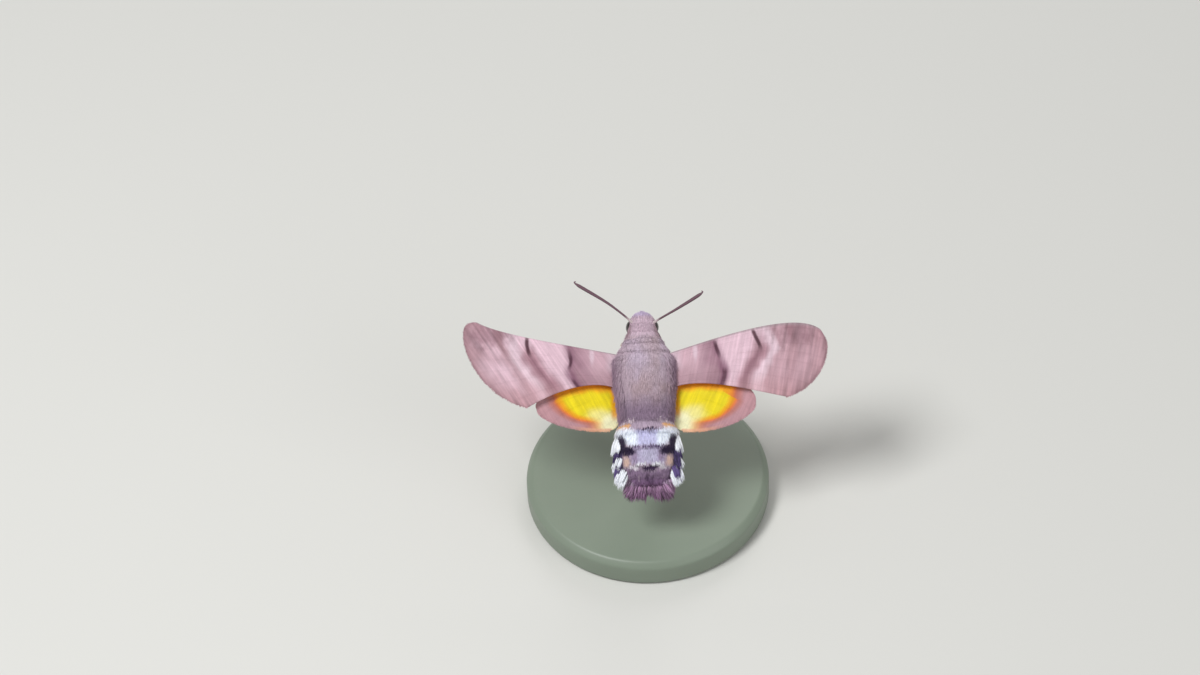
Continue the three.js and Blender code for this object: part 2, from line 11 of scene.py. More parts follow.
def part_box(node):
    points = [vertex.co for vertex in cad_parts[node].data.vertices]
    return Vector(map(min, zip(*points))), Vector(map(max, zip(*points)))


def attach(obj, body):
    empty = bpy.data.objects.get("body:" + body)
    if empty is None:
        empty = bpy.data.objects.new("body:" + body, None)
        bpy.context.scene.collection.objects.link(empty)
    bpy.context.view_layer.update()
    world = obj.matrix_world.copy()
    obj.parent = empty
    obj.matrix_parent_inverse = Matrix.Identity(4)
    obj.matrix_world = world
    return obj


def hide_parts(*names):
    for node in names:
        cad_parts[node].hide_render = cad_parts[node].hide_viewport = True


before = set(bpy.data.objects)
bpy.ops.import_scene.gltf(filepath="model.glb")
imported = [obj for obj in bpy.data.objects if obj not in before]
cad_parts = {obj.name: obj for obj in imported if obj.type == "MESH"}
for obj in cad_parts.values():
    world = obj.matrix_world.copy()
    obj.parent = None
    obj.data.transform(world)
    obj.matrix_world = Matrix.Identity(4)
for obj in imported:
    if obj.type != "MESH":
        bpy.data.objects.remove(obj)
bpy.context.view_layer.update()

bl_info = {
    "name": "Hummingbird hawk moth",
    "version": (1, 0, 0),
    "blender": (4, 5, 0),
    "location": "View3D > Sidebar > Moth",
    "description": "Builds a life-size hummingbird hawk moth on a display stand",
    "category": "Add Mesh",
}

MM = 0.001
SIDES = ((-1, "left"), (1, "right"))


def linear(value):
    """A linear colour from an sRGB hex value."""
    parts = [int(value[i : i + 2], 16) / 255 for i in (1, 3, 5)]
    return tuple(c / 12.92 if c <= 0.04045 else ((c + 0.055) / 1.055) ** 2.4 for c in parts)


def colour(name, value, description):
    return FloatVectorProperty(
        name=name, description=description, subtype="COLOR", size=3, min=0, max=1, default=linear(value)
    )


def length(name, value, description):
    return FloatProperty(name=name, description=description, unit="LENGTH", default=value)


def slant(name, degrees, description):
    return FloatProperty(name=name, description=description, subtype="ANGLE", default=math.radians(degrees))


class MothSizes(bpy.types.PropertyGroup):
    """Sizes of the moth and its stand. The pose and the stand repeat those of the solids."""

    pitch: slant("Pitch", 36, "How far the body is turned head up")
    hover_height: length("Hover height", 0.024, "Thorax centre over the stand's underside")
    hover_forward: length("Hover forward", 0.0011, "Thorax centre in front of the stand's middle")
    coat_depth: length("Coat depth", 0.00022, "How far the skin lies under the coat")
    wing_thickness: length("Wing thickness", 0.0002, "Thickness of the wing membrane")
    fur_length: length("Fur length", 0.00105, "Length of the short fur on the back")
    base_radius: length("Base radius", 0.017, "Radius of the stand's disc")
    base_thickness: length("Base thickness", 0.004, "Thickness of the stand's disc")
    rod_radius: length("Rod radius", 0.0006, "Radius of the stand's rod")
    camera_tilt: slant("Camera elevation", 48, "How far the camera looks down")
    seed: IntProperty(name="Seed", description="Seed of the coat's small differences", default=7)


class MothColours(bpy.types.PropertyGroup):
    """Colours of the coat, the wings and the stand."""

    back: colour("Back", "#b19ca9", "Grey-mauve fur of the thorax")
    back_side: colour("Sides", "#8d7086", "Darker fur along the thorax")
    crown: colour("Crown", "#c0a7b6", "Fur of the head")
    white: colour("White", "#e4ecfb", "White tufts and rings of the abdomen")
    black: colour("Black", "#1c0a2e", "Black patches of the abdomen")
    tail: colour("Tail", "#4b2c4a", "Scales of the tail fan")
    belly: colour("Belly", "#cbbcc0", "Pale fur of the underside")
    wing_pale: colour("Forewing, pale", "#dabac7", "Pale ground of the forewing")
    wing_brown: colour("Forewing, brown", "#9c6f7b", "Brown haze and margin of the forewing")
    wing_dark: colour("Forewing, lines", "#4c2638", "Dark cross lines of the forewing")
    yellow: colour("Hindwing, yellow", "#e8d414", "Middle of the hindwing")
    orange: colour("Hindwing, orange", "#ec9a12", "Edge of the yellow on the hindwing")
    rust: colour("Hindwing, margin", "#b5756f", "Margin of the hindwing")
    horn: colour("Horn", "#4a3038", "Feelers")
    stand: colour("Stand", "#7f8b7c", "Painted disc of the stand")


# Sections of the body from the palps to the tail: y, half width, height, depth, centre height and how far
# the sides trail behind the top, in millimetres.
BODY = np.array(
    [
        [8.1, 0.24, 0.30, 0.30, -0.50, 0],
        [7.6, 1.28, 1.25, 1.30, -0.42, 0],
        [6.8, 2.06, 1.85, 1.85, -0.27, 0],
        [6.0, 2.27, 2.10, 2.10, -0.15, 0],
        [5.4, 2.38, 2.17, 2.10, -0.10, 0],
        [4.9, 2.50, 2.42, 2.35, -0.04, 0],
        [4.3, 2.76, 2.80, 2.75, 0.00, 0],
        [3.2, 3.36, 3.45, 3.40, 0.00, 0],
        [1.2, 4.12, 4.02, 3.85, 0.00, 0],
        [-1.2, 4.40, 4.10, 3.80, 0.00, 0],
        [-3.4, 4.07, 3.80, 3.50, -0.05, 0.2],
        [-5.0, 3.86, 3.50, 3.20, -0.10, 0.6],
        [-6.1, 3.86, 3.30, 3.00, -0.18, 0.8],
        [-7.0, 4.05, 3.04, 2.80, -0.27, 0.5],
        [-8.2, 4.35, 3.04, 2.78, -0.35, 0.3],
        [-10.2, 4.35, 2.88, 2.63, -0.50, 0.3],
        [-12.2, 4.18, 2.52, 2.33, -0.75, 0.3],
        [-13.8, 3.57, 1.97, 1.87, -1.05, 0.3],
        [-14.8, 2.85, 1.42, 1.40, -1.30, 0.2],
        [-15.9, 2.20, 0.72, 0.80, -1.58, 0.1],
        [-16.7, 1.10, 0.22, 0.25, -1.85, 0],
    ]
)
# Where each segment of the abdomen ends, and how far it swells there.
SEGMENTS = [-8.1, -10.3, -12.6, -14.2]
SEGMENT_SWELL = 0.13
HEAD_END, NECK, THORAX_END, TAIL_START, BODY_END = 8.1, 5.1, -6.15, -14.5, -16.7
EYE_CENTRE, EYE_RADII = np.array([1.14, 6.2, -0.45]), np.array([1.12, 1.18, 1.3])


# Numbers, vectors and colours


def spline(p, q, r, s, f):
    """What lies between q and r, a share f of the way, on a smooth curve through four values."""
    return q + 0.5 * f * (r - p + f * (2 * p - 5 * q + 4 * r - s + f * (3 * (q - r) + s - p)))


def smooth_table(table, y):
    """Rows of a table mixed smoothly at each y. The table runs from the largest y to the smallest."""
    y = np.clip(np.asarray(y, float), table[-1, 0], table[0, 0])
    i = np.clip(np.searchsorted(-table[:, 0], -y, side="right") - 1, 0, len(table) - 2)
    f = ((table[i, 0] - y) / (table[i, 0] - table[i + 1, 0]))[..., None]
    before, after = np.maximum(i - 1, 0), np.minimum(i + 2, len(table) - 1)
    return spline(*(table[k, 1:] for k in (before, i, i + 1, after)), f)


def smooth_path(path, count):
    """Points of a smooth curve through all points of a path."""
    padded = np.vstack([2 * path[0] - path[1], path, 2 * path[-1] - path[-2]])
    u = np.linspace(0, len(path) - 1, count)
    i = np.clip(u.astype(int), 0, len(path) - 2)
    return spline(*(padded[i + k] for k in range(4)), (u - i)[:, None])


def turned(vectors):
    """Vectors of the moth's own frame in the part's frame."""
    pitch = bpy.context.scene.moth_sizes.pitch
    c, s = math.cos(pitch), math.sin(pitch)
    v = np.asarray(vectors, float)
    return np.stack([v[..., 0], c * v[..., 1] - s * v[..., 2], s * v[..., 1] + c * v[..., 2]], -1)


def to_frame(points):
    """Points of the moth's own frame, in millimetres, in the part's frame, in metres."""
    sizes = bpy.context.scene.moth_sizes
    return turned(points) * MM + np.array([0, sizes.hover_forward, sizes.hover_height])


def unit(v):
    return v / np.maximum(np.linalg.norm(v, axis=-1, keepdims=True), 1e-12)


def step(low, high, value):
    """Smooth step from 0 at low to 1 at high. It runs the other way where low is the larger."""
    t = np.clip((value - low) / (high - low), 0, 1)
    return t * t * (3 - 2 * t)


def band(y, low, high, soft=0.15):
    """1 between two values of y, with soft ends."""
    return step(low - soft, low + soft, y) * step(high + soft, high - soft, y)


def grain(x, y, seed=0):
    """Smooth noise between -1 and 1 on a lattice of one unit."""
    x, y = np.broadcast_arrays(np.asarray(x, float), np.asarray(y, float))
    i, j = np.floor(x), np.floor(y)
    fx, fy = x - i, y - j
    fx, fy = fx * fx * (3 - 2 * fx), fy * fy * (3 - 2 * fy)

    def corner(a, b):
        h = np.sin(a * 127.1 + b * 311.7 + seed * 74.7) * 43758.5453
        return 2 * (h - np.floor(h)) - 1

    low = corner(i, j) * (1 - fx) + corner(i + 1, j) * fx
    high = corner(i, j + 1) * (1 - fx) + corner(i + 1, j + 1) * fx
    return low * (1 - fy) + high * fy


def blob(x, y, middle, size, soft=0.35, rough=0.12, seed=1):
    """1 inside an ellipse with a ragged, soft edge, and 0 outside."""
    d = np.hypot((x - middle[0]) / size[0], (y - middle[1]) / size[1])
    d = d + rough * grain(x * 2.6, y * 1.6, seed) + 0.5 * rough * grain(x * 7, y * 3, seed + 3)
    return step(1 + soft, 1 - soft, d)


def broken_line(x, y, at, half, reach, seed):
    """1 along a row of short dashes across the body, at y and out to a reach each side."""
    waver = 0.06 * grain(x * 1.7, 0.5, seed + 50)
    gaps = step(-0.35, -0.05, grain(x * 2.3, 0.3, seed))
    within = step(reach + 0.15, reach - 0.1, np.abs(x - 0.12))
    return band(y + waver, at - half, at + half, 0.05) * within * gaps


def tone_of(over):
    """Linear colours from an sRGB hex value, or from linear colours."""
    return np.asarray(linear(over) if isinstance(over, str) else over, float)[..., :3]


def flat(over, like):
    """One colour at every point of an array."""
    return np.broadcast_to(tone_of(over), like.shape + (3,))


def paint(base, *layers):
    """Colours laid over others one after another. Each layer is a colour and an amount from 0 to 1."""
    for over, amount in layers:
        amount = np.clip(amount, 0, 1)[..., None]
        base = base * (1 - amount) + tone_of(over) * amount
    return base


# Meshes


def mesh_object(name, points, faces=(), vectors=None, floats=None, colours=None, uv=None, uv_name="UVMap"):
    """An object whose mesh has these points, in metres, faces and point attributes."""
    mesh = bpy.data.meshes.new(name)
    faces = faces.tolist() if isinstance(faces, np.ndarray) else list(faces)
    mesh.from_pydata(np.asarray(points).reshape(-1, 3).tolist(), [], faces)
    for kind, field, table in (
        ("FLOAT_VECTOR", "vector", vectors),
        ("FLOAT", "value", floats),
        ("FLOAT_COLOR", "color", colours),
    ):
        for label, data in (table or {}).items():
            data = np.asarray(data, float)
            if field == "color":
                data = np.concatenate([data[..., :3], np.ones(data.shape[:-1] + (1,))], -1)
            layer = mesh.attributes.new(label, kind, "POINT")
            layer.data.foreach_set(field, np.ascontiguousarray(data.reshape(-1)).astype(np.float32))
    if uv is not None:
        layer = mesh.uv_layers.new(name=uv_name)
        layer.data.foreach_set("uv", np.asarray(uv, np.float32).reshape(-1))
    mesh.update()
    obj = bpy.data.objects.new(name, mesh)
    bpy.context.scene.collection.objects.link(obj)
    return obj


def smooth(obj):
    obj.data.polygons.foreach_set("use_smooth", [True] * len(obj.data.polygons))
    obj.data.update()


def grid_faces(rows, columns, offset=0, flip=False, wrap=False):
    """Quads of a grid of points, joined round into rings if wrapped."""
    i, j = np.meshgrid(np.arange(rows - 1), np.arange(columns if wrap else columns - 1), indexing="ij")
    k = (j + 1) % columns
    quads = np.stack([i * columns + j, i * columns + k, (i + 1) * columns + k, (i + 1) * columns + j], -1)
    quads = quads.reshape(-1, 4) + offset
    return quads[:, ::-1] if flip else quads


def capped_faces(rows, columns):
    """Faces of rings of points, closed at both ends by fans round the two points that follow the rings."""
    faces = grid_faces(rows, columns, wrap=True).tolist()
    first, last, end = rows * columns, rows * columns + 1, (rows - 1) * columns
    for j in range(columns):
        k = (j + 1) % columns
        faces.append([first, k, j])
        faces.append([last, end + j, end + k])
    return faces


def made(make):
    """The material that a function makes, made once for all the pieces that ask for it."""
    return bpy.data.materials.get(make.__name__) or make()


def finish_piece(obj, slot, make, *nodes):
    """Gives a piece its material, hangs it on the part and lets it stand for the solids it takes over."""
    obj.data.materials.clear()
    obj.data.materials.append(made(make))
    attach(obj, "root")
    if nodes:
        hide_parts(*nodes)


def tube(path, radius_at, sides, samples, lobes=0.0):
    """Points, outward and lengthwise vectors and unwrap places of a tube along a smooth path, in millimetres.

    The last column of points repeats the first, so that the unwrap has an edge there.
    """
    fine = smooth_path(np.asarray(path, float), 400)
    steps = np.concatenate([[0], np.cumsum(np.linalg.norm(np.diff(fine, axis=0), axis=1))])
    t = np.linspace(0, 1, samples)
    centre = np.stack([np.interp(t * steps[-1], steps, fine[:, k]) for k in range(3)], -1)
    along = unit(np.gradient(centre, axis=0))
    across = np.zeros_like(along)
    across[0] = unit(np.cross(along[0], [0.31, 0.17, 0.93]))
    for i in range(1, samples):
        across[i] = unit(across[i - 1] - along[i] * np.dot(across[i - 1], along[i]))
    over = np.cross(along, across)
    angle = np.linspace(0, 2 * math.pi, sides + 1)
    out = across[:, None] * np.cos(angle)[None, :, None] + over[:, None] * np.sin(angle)[None, :, None]
    radius = radius_at(t)[:, None] * (1 - lobes * np.sin(angle) ** 2)[None, :]
    place = np.stack(np.broadcast_arrays((angle / (2 * math.pi))[None, :], t[:, None]), -1)
    points = centre[:, None] + out * radius[..., None]
    return points, out, np.broadcast_to(along[:, None], points.shape), place


def closed_tube(name, points, place, **attributes):
    """A closed mesh of a tube's points, welded along its edge and capped at both ends."""
    rows, columns = points.shape[0], points.shape[1] - 1

    def welded(data):
        inner = data[:, :-1]
        ends = [inner[0].mean(0)[None], inner[-1].mean(0)[None]]
        return np.concatenate([inner.reshape(-1, *data.shape[2:]), *ends])

    faces = capped_faces(rows, columns)
    first_cap = rows * columns
    uv = []
    for face in faces:
        for corner in face:
            if corner >= first_cap:
                uv.append((0.5, corner - first_cap))
                continue
            u = (corner % columns) / columns
            if len(face) == 4 and corner % columns == 0 and max(c % columns for c in face) > 1:
                u = 1.0
            uv.append((u, place[corner // columns, 0, 1]))
    tables = {
        kind: {label: welded(data) for label, data in table.items()} for kind, table in attributes.items()
    }
    obj = mesh_object(name, to_frame(welded(points)), faces, uv=uv, **tables)
    smooth(obj)
    return obj


# Node trees


def add(tree, kind, links=(), **settings):
    """Adds a node with its settings and its inputs, each a value or a socket to link from."""
    node = tree.nodes.new(kind)
    for key, value in settings.items():
        setattr(node, key, value)
    for key, value in dict(links).items():
        if isinstance(value, bpy.types.NodeSocket):
            tree.links.new(value, node.inputs[key])
        else:
            node.inputs[key].default_value = value
    return node


def maths(tree, operation, *values):
    """The result of a sum on values or sockets."""
    return add(tree, "ShaderNodeMath", dict(enumerate(values)), operation=operation).outputs[0]


def vector_sum(tree, one, other):
    return add(tree, "ShaderNodeVectorMath", {0: one, 1: other}, operation="ADD").outputs[0]


def scaled(tree, vector, factor):
    return add(tree, "ShaderNodeVectorMath", {0: vector, "Scale": factor}, operation="SCALE").outputs[0]


# Coat. A tuft's patch on the OFBake map is this wide.
BAKE_PATCH = 0.003


def tuft_tree():
    """Tufts on a skin or on bare points, turned by the attributes lie and out and sized by reach and wide."""
    if "moth_tufts" in bpy.data.node_groups:
        return bpy.data.node_groups["moth_tufts"]
    tree = bpy.data.node_groups.new("moth_tufts", "GeometryNodeTree")
    tree.interface.new_socket("Geometry", in_out="OUTPUT", socket_type="NodeSocketGeometry")
    for label, kind in (
        ("Geometry", "Geometry"),
        ("Scatter", "Bool"),
        ("Density", "Float"),
        ("Seed", "Int"),
        ("Unrest", "Float"),
        ("Tuft", "Object"),
        ("Material", "Material"),
    ):
        tree.interface.new_socket(label, in_out="INPUT", socket_type="NodeSocket" + kind)
    given = add(tree, "NodeGroupInput").outputs

    def named(label, kind="FLOAT"):
        node = add(tree, "GeometryNodeInputNamedAttribute", {"Name": label}, data_type=kind)
        return node.outputs["Attribute"]

    def chance(low, high, shift):
        links = {2: low, 3: high, "Seed": maths(tree, "ADD", given["Seed"], float(shift))}
        return add(tree, "FunctionNodeRandomValue", links, data_type="FLOAT").outputs[1]

    def stored(geometry, label, value, kind, domain):
        links = {"Geometry": geometry, "Name": label, "Value": value}
        return add(tree, "GeometryNodeStoreNamedAttribute", links, data_type=kind, domain=domain).outputs[0]

    dense = maths(tree, "MULTIPLY", given["Density"], named("cover"))
    links = {"Mesh": given["Geometry"], "Density": dense, "Seed": given["Seed"]}
    scattered = add(tree, "GeometryNodeDistributePointsOnFaces", links, distribute_method="RANDOM")
    links = {"Switch": given["Scatter"], "False": given["Geometry"], "True": scattered.outputs["Points"]}
    points = add(tree, "GeometryNodeSwitch", links, input_type="GEOMETRY").outputs[0]
    points = stored(points, "tone", chance(0.0, 1.0, 11), "FLOAT", "POINT")

    shake = add(tree, "ShaderNodeCombineXYZ", {k: chance(-1.0, 1.0, 21 + k) for k in range(3)}).outputs[0]
    lie = vector_sum(tree, named("lie", "FLOAT_VECTOR"), scaled(tree, shake, given["Unrest"]))
    links = {"Primary Axis": lie, "Secondary Axis": named("out", "FLOAT_VECTOR")}
    axes = add(tree, "FunctionNodeAxesToRotation", links, primary_axis="Y", secondary_axis="Z")
    reach = maths(tree, "MULTIPLY", named("reach"), chance(0.78, 1.12, 31))
    wide = maths(tree, "MULTIPLY", named("wide"), chance(0.75, 1.2, 37))
    size = add(tree, "ShaderNodeCombineXYZ", {0: wide, 1: reach, 2: reach})
    tuft = add(tree, "GeometryNodeObjectInfo", {"Object": given["Tuft"]}).outputs["Geometry"]
    links = {"Points": points, "Instance": tuft, "Rotation": axes.outputs[0], "Scale": size.outputs[0]}
    instances = add(tree, "GeometryNodeInstanceOnPoints", links).outputs[0]
    whole = add(tree, "GeometryNodeRealizeInstances", {"Geometry": instances}).outputs[0]

    patch = scaled(tree, vector_sum(tree, named("Tuft", "FLOAT_VECTOR"), (-0.5, -0.5, 0)), BAKE_PATCH)
    place = vector_sum(tree, named("root_uv", "FLOAT_VECTOR"), patch)
    whole = stored(whole, "OFBake", place, "FLOAT2", "CORNER")
    links = {"Geometry": whole, "Material": given["Material"]}
    whole = add(tree, "GeometryNodeSetMaterial", links).outputs[0]
    tree.links.new(whole, add(tree, "NodeGroupOutput").inputs[0])
    return tree


# Kinds of tuft: rings from the root on, each its place, width and rise, and how high the tip lies.
SCALE = ([(0, 0.5, 0), (0.5, 1.0, 0.04)], 0.02)
EDGE_SCALE = ([(0, 0.5, 0), (0.5, 1.0, 0.04)], 0.0)
HAIR = ([(0, 0.7, 0), (0.35, 1.0, 0.06), (0.72, 0.75, 0.06)], 0.0)


def blade(rings, tip_rise):
    """One tuft, one unit long and wide, as a three-sided tapering blade."""
    points, uv = [], []
    for t, wide, rise in rings:
        thick = 0.008 + 0.012 * wide
        points += [(-wide / 2, t, rise), (wide / 2, t, rise), (0, t, rise + thick)]
        uv += [(0.5 - wide / 2, t), (0.5 + wide / 2, t), (0.5, t)]
    points.append((0, 1, tip_rise))
    uv.append((0.5, 1))
    edges = ((0, 1), (1, 2), (2, 0))
    faces = [(0, 1, 2)]
    for i in range(0, 3 * (len(rings) - 1), 3):
        faces += [(i + b, i + a, i + 3 + a, i + 3 + b) for a, b in edges]
    last, tip = 3 * (len(rings) - 1), len(points) - 1
    faces += [(last + b, last + a, tip) for a, b in edges]
    return mesh_object("tuft", points, faces, uv=[uv[c] for face in faces for c in face], uv_name="Tuft")


def grow(obj, slot, kind, unrest, shift, density=None):
    """Grows tufts on an object's faces, so many a square metre, or on its points, and leaves only them."""
    tuft = blade(*kind)
    modifier = obj.modifiers.new("tufts", "NODES")
    modifier.node_group = tuft_tree()
    values = {
        "Scatter": density is not None,
        "Density": float(density or 1),
        "Seed": bpy.context.scene.moth_sizes.seed + shift,
        "Unrest": float(unrest),
        "Tuft": tuft,
        "Material": made(fine_fur),
    }
    for item in modifier.node_group.interface.items_tree:
        if item.in_out == "INPUT" and item.name in values:
            modifier[item.identifier] = values[item.name]
    obj.update_tag()
    graph = bpy.context.evaluated_depsgraph_get()
    grown = obj.evaluated_get(graph)
    mesh = bpy.data.meshes.new_from_object(grown, preserve_all_data_layers=True, depsgraph=graph)
    obj.modifiers.remove(modifier)
    old, name = obj.data, obj.name
    obj.data = mesh
    mesh.name = name
    bpy.data.meshes.remove(old)
    bpy.data.objects.remove(tuft)
    for label in ("lie", "out", "reach", "wide", "cover", "root_uv"):
        if label in mesh.attributes:
            mesh.attributes.remove(mesh.attributes[label])
    if not len(mesh.polygons):
        raise RuntimeError(name + " grew no tufts")
    finish_piece(obj, slot, fine_fur)


def tuft_roots(name, points, lies, outs, reach, wide, colours, places, cover=1.0, faces=()):
    """Points in millimetres, with faces between them or bare, that carry what the tufts on them need."""
    count = points.shape[:-1]
    return mesh_object(
        name,
        to_frame(points),
        faces,
        vectors={
            "lie": turned(lies),
            "out": turned(outs),
            "root_uv": np.concatenate([places, np.zeros(count + (1,))], -1),
        },
        floats={
            "reach": np.broadcast_to(reach * MM, count),
            "wide": np.broadcast_to(wide * MM, count),
            "cover": np.broadcast_to(cover, count),
        },
        colours={"coat_colour": colours},
    )


# Body


def body_point(y, angle, depth):
    """Points of the body at y and an angle up from its right side, that far under its surface."""
    w, up, down, z, lag = np.moveaxis(smooth_table(BODY, y), -1, 0)
    tall = np.where(np.sin(angle) > 0, up, down)
    swell = sum(SEGMENT_SWELL * step(s + 1.6, s + 0.1, y) * step(s - 0.02, s + 0.08, y) for s in SEGMENTS)
    lean = np.arcsin(np.clip(np.abs(np.sin(angle)), 0, 1)) * np.sign(np.sin(angle))
    shoulder = 0.3 * np.exp(-(((y - 1.3) / 1.6) ** 2) - ((lean - 0.4) / 0.32) ** 2)
    socket = 0.5 * np.exp(-(((y - 6.2) / 0.95) ** 2) - ((lean + 0.32) / 0.32) ** 2)
    scale = swell + shoulder - socket - depth
    x = np.maximum(w + scale, 0.02) * np.cos(angle)
    height = z + np.maximum(tall + scale, 0.02) * np.sin(angle)
    return np.stack([x, y - lag * np.cos(angle) ** 2, height], -1)


def body_axes(y, angle, depth):
    """Vectors out of the body and back along it."""
    e = 0.02
    back = unit(body_point(y - e, angle, depth) - body_point(y + e, angle, depth))
    side = unit(body_point(y, angle + e, depth) - body_point(y, angle - e, depth))
    out = unit(np.cross(back, side))
    rise = body_point(y, angle, depth) - body_point(y, angle, depth + 0.3)
    return out * np.sign((out * rise).sum(-1, keepdims=True) + 1e-9), back


def down_the_body(y):
    """How far from the face to the end of the abdomen y lies, from 0 to 1."""
    return (HEAD_END - y) / (HEAD_END - BODY_END)


def unwrap(angle, y):
    """Places on the skin's unwrap, from an angle up from the right side and from y."""
    return np.stack([(angle + math.pi / 2) / (2 * math.pi), down_the_body(y)], -1)


# Angles round the body from the middle of the belly, all the way and for each half.
ALL_ROUND = (-0.5 * math.pi, 1.5 * math.pi)
RIGHT_HALF, LEFT_HALF = (-0.5 * math.pi, 0.5 * math.pi), (0.5 * math.pi, 1.5 * math.pi)


def body_grid(grid, first, last, depth, span=ALL_ROUND):
    """A grid over the body between two values of y, with outward and rearward vectors and unwrap places."""
    y, angle = np.meshgrid(np.linspace(first, last, grid[0]), np.linspace(*span, grid[1]), indexing="ij")
    out, back = body_axes(y, angle, depth)
    return body_point(y, angle, depth), out, back, unwrap(angle, y), y


def body_colour(points, up):
    """Markings of skin and coat at points of the moth's own frame, with a painted highlight and a painted
    shadow along the thorax's rear edge. up is 1 on the back, -1 on the belly.
    """
    c = bpy.context.scene.moth_colours
    x, y = points[..., 0], points[..., 1]
    ax = np.abs(x)
    rough = 0.16 * grain(x * 2.2, y * 1.4, 5)
    thorax = paint(
        flat(c.back, x),
        ("#c0b0c4", blob(x, y, (0.3, 2.6), (1.9, 2.6), 0.8, 0.3, 61) * 0.75),
        ("#a68c8c", step(0.0, 0.8, grain(x * 0.7, y * 0.5, 62)) * 0.45),
        ("#77627a", step(-1.5, -5.2, y) * 0.85),
        (c.back_side, step(2.4, 4.1, ax + 0.5 * rough) * band(y, -7, 3.8, 0.8) * 0.8),
        ("#9d8296", step(3.4, 4.2, y) * step(1.9, 2.9, ax) * 0.5),
        # Head, its tip, the rims of the eyes and the pale and dark collar
        (c.crown, step(4.9, 5.3, y)),
        ("#b3a4c4", step(6.9, 7.4, y) * 0.8),
        ("#8c6a72", blob(ax, y, (2.2, 5.9), (0.7, 1.1)) * 0.6),
        ("#d6b9c2", band(y + 0.1 * ax, 4.95, 5.1, 0.06) * step(0.5, 0.9, ax) * 0.7),
        ("#7d6478", band(y + 0.1 * ax, 4.7, 4.86, 0.08) * 0.5),
    )

    rear = THORAX_END - 0.8 * step(0.8, 4.4, ax) - y
    last = paint(
        flat("#78627c", x),
        ("#75567a", step(-14.0, -15.2, y)),
        ("#3d2544", step(0.1, 0.55, grain(x * 3.4, y * 0.9, 14)) * 0.75),
        ("#bca3b8", step(0.35, 0.75, grain(x * 3.1, y * 0.9, 34)) * 0.6),
    )
    abdomen = paint(
        flat("#a18ea1", x),
        # First segment: pale flanks, ochre patches and two dark broken lines
        ("#ded9e6", blob(ax, y, (3.45, -8.4), (1.5, 0.85), 0.25, 0.16, 3)),
        (c.white, blob(ax, y, (3.3, -8.5), (1.2, 0.6), 0.4, 0.2, 4) * 0.8),
        ("#bfbde2", band(y, -10.15, -8.1, 0.25) * step(2.3, 1.4, ax + rough)),
        (c.white, blob(ax, y, (2.15, -9.2), (0.95, 1.0), 0.3, 0.2, 5)),
        ("#d09a66", blob(ax, y, (3.3, -7.4), (1.1, 0.42), 0.35, 0.2, 2)),
        ("#241232", broken_line(x, y, -8.02, 0.1, 1.2, 7)),
        ("#4a3850", broken_line(x, y, -8.3, 0.06, 0.9, 27) * 0.7),
        # Second segment: a pale saddle between black flanks
        ("#b0a5c4", band(y, -12.5, -10.4, 0.15) * step(2.5, 2.0, ax + rough)),
        ("#b3aec8", blob(x, y, (0.1, -11.5), (1.0, 0.95), 0.5, 0.2, 28) * 0.8),
        ("#85708c", blob(ax, y, (1.9, -11.6), (0.5, 0.85), 0.5, 0.3, 29) * 0.8),
        ("#3b2450", broken_line(x, y, -10.33, 0.13, 2.0, 9)),
        ("#3a2c54", step(3.1, 3.5, ax + rough) * band(y, -14.2, -10.3, 0.25)),
        (c.black, blob(ax, y, (3.5, -9.85), (0.55, 1.1), 0.3, 0.25, 6)),
        (c.black, blob(ax, y, (2.65, -10.8), (1.05, 0.62), 0.25, 0.25, 8)),
        # Third segment: pale and dark broken lines over a dark middle
        ("#cfae9e", blob(ax, y, (3.0, -12.3), (0.5, 0.7), 0.4, 0.4, 10) * 0.85),
        ("#e3dbe6", blob(ax, y, (2.05, -13.1), (0.9, 0.3), 0.3, 0.25, 11)),
        ("#f2f3fc", broken_line(x, y, -12.62, 0.14, 1.85, 12)),
        ("#1d0f2a", broken_line(x, y, -12.92, 0.1, 1.8, 32)),
        ("#2c1738", blob(x, y, (0.15, -13.25), (1.2, 0.36), 0.3, 0.2, 13)),
        # Last segments, and painted shadow: a dark band under the thorax's fringe
        (last, step(-13.1, -13.5, y + 0.5 * rough) * (1 - blob(x, y, (0.15, -13.3), (1.2, 0.4)))),
        (c.tail, step(-14.9, -15.7, y + 0.5 * rough)),
        # Painted shadow under the overhanging fringe of the thorax.
        ("#2b1838", band(rear, 0.08, 0.42, 0.08) * step(0.6, 2.0, ax) * 0.95),
    )
    top = paint(
        thorax,
        (abdomen, step(-0.05, 0.05, rear)),
        # Painted highlight: a pale line along the thorax's rear edge.
        ("#e6d2da", band(rear, -0.2, -0.02, 0.06) * step(1.3, 1.9, ax) * 0.9),
    )
    under = paint(
        flat(c.belly, x),
        ("#e6dedf", step(3.5, 5.5, y)),
        ("#a58f8c", step(-5.5, -7.0, y)),
        ("#6f5460", band(grain(0, y * 0.9, 15) + 0 * x, 0.1, 2, 0.2) * step(-7, -8, y) * 0.6),
        ("#6a4a5c", step(-13.5, -15.5, y)),
    )
    return paint(top, (under, step(-0.15, -0.5, up)))


class MOTH_OT_skin(bpy.types.Operator):
    """One closed skin from the face to the end of the abdomen, a coat's depth inside the solids"""

    bl_idname = "moth.skin"
    bl_label = "Skin"

    def execute(self, context):
        depth = context.scene.moth_sizes.coat_depth / MM
        points, out, _, place, _ = body_grid(SKIN_GRID, HEAD_END, BODY_END, depth)
        colours = {"coat_colour": body_colour(points, out[..., 2])}
        skin = closed_tube("moth_skin", points, place, colours=colours, vectors={"coat_place": points})
        finish_piece(skin, "body_coat", downy_skin, "head", "thorax", "abdomen", "tail_fan")
        return {"FINISHED"}


def bare_eyes(points):
    """0 over the eyes and 1 elsewhere, so that no tuft grows through them."""
    mirrored = points * np.where(points[..., :1] < 0, [-1, 1, 1], [1, 1, 1])
    return step(1.0, 1.06, np.linalg.norm((mirrored - EYE_CENTRE) / EYE_RADII, axis=-1))


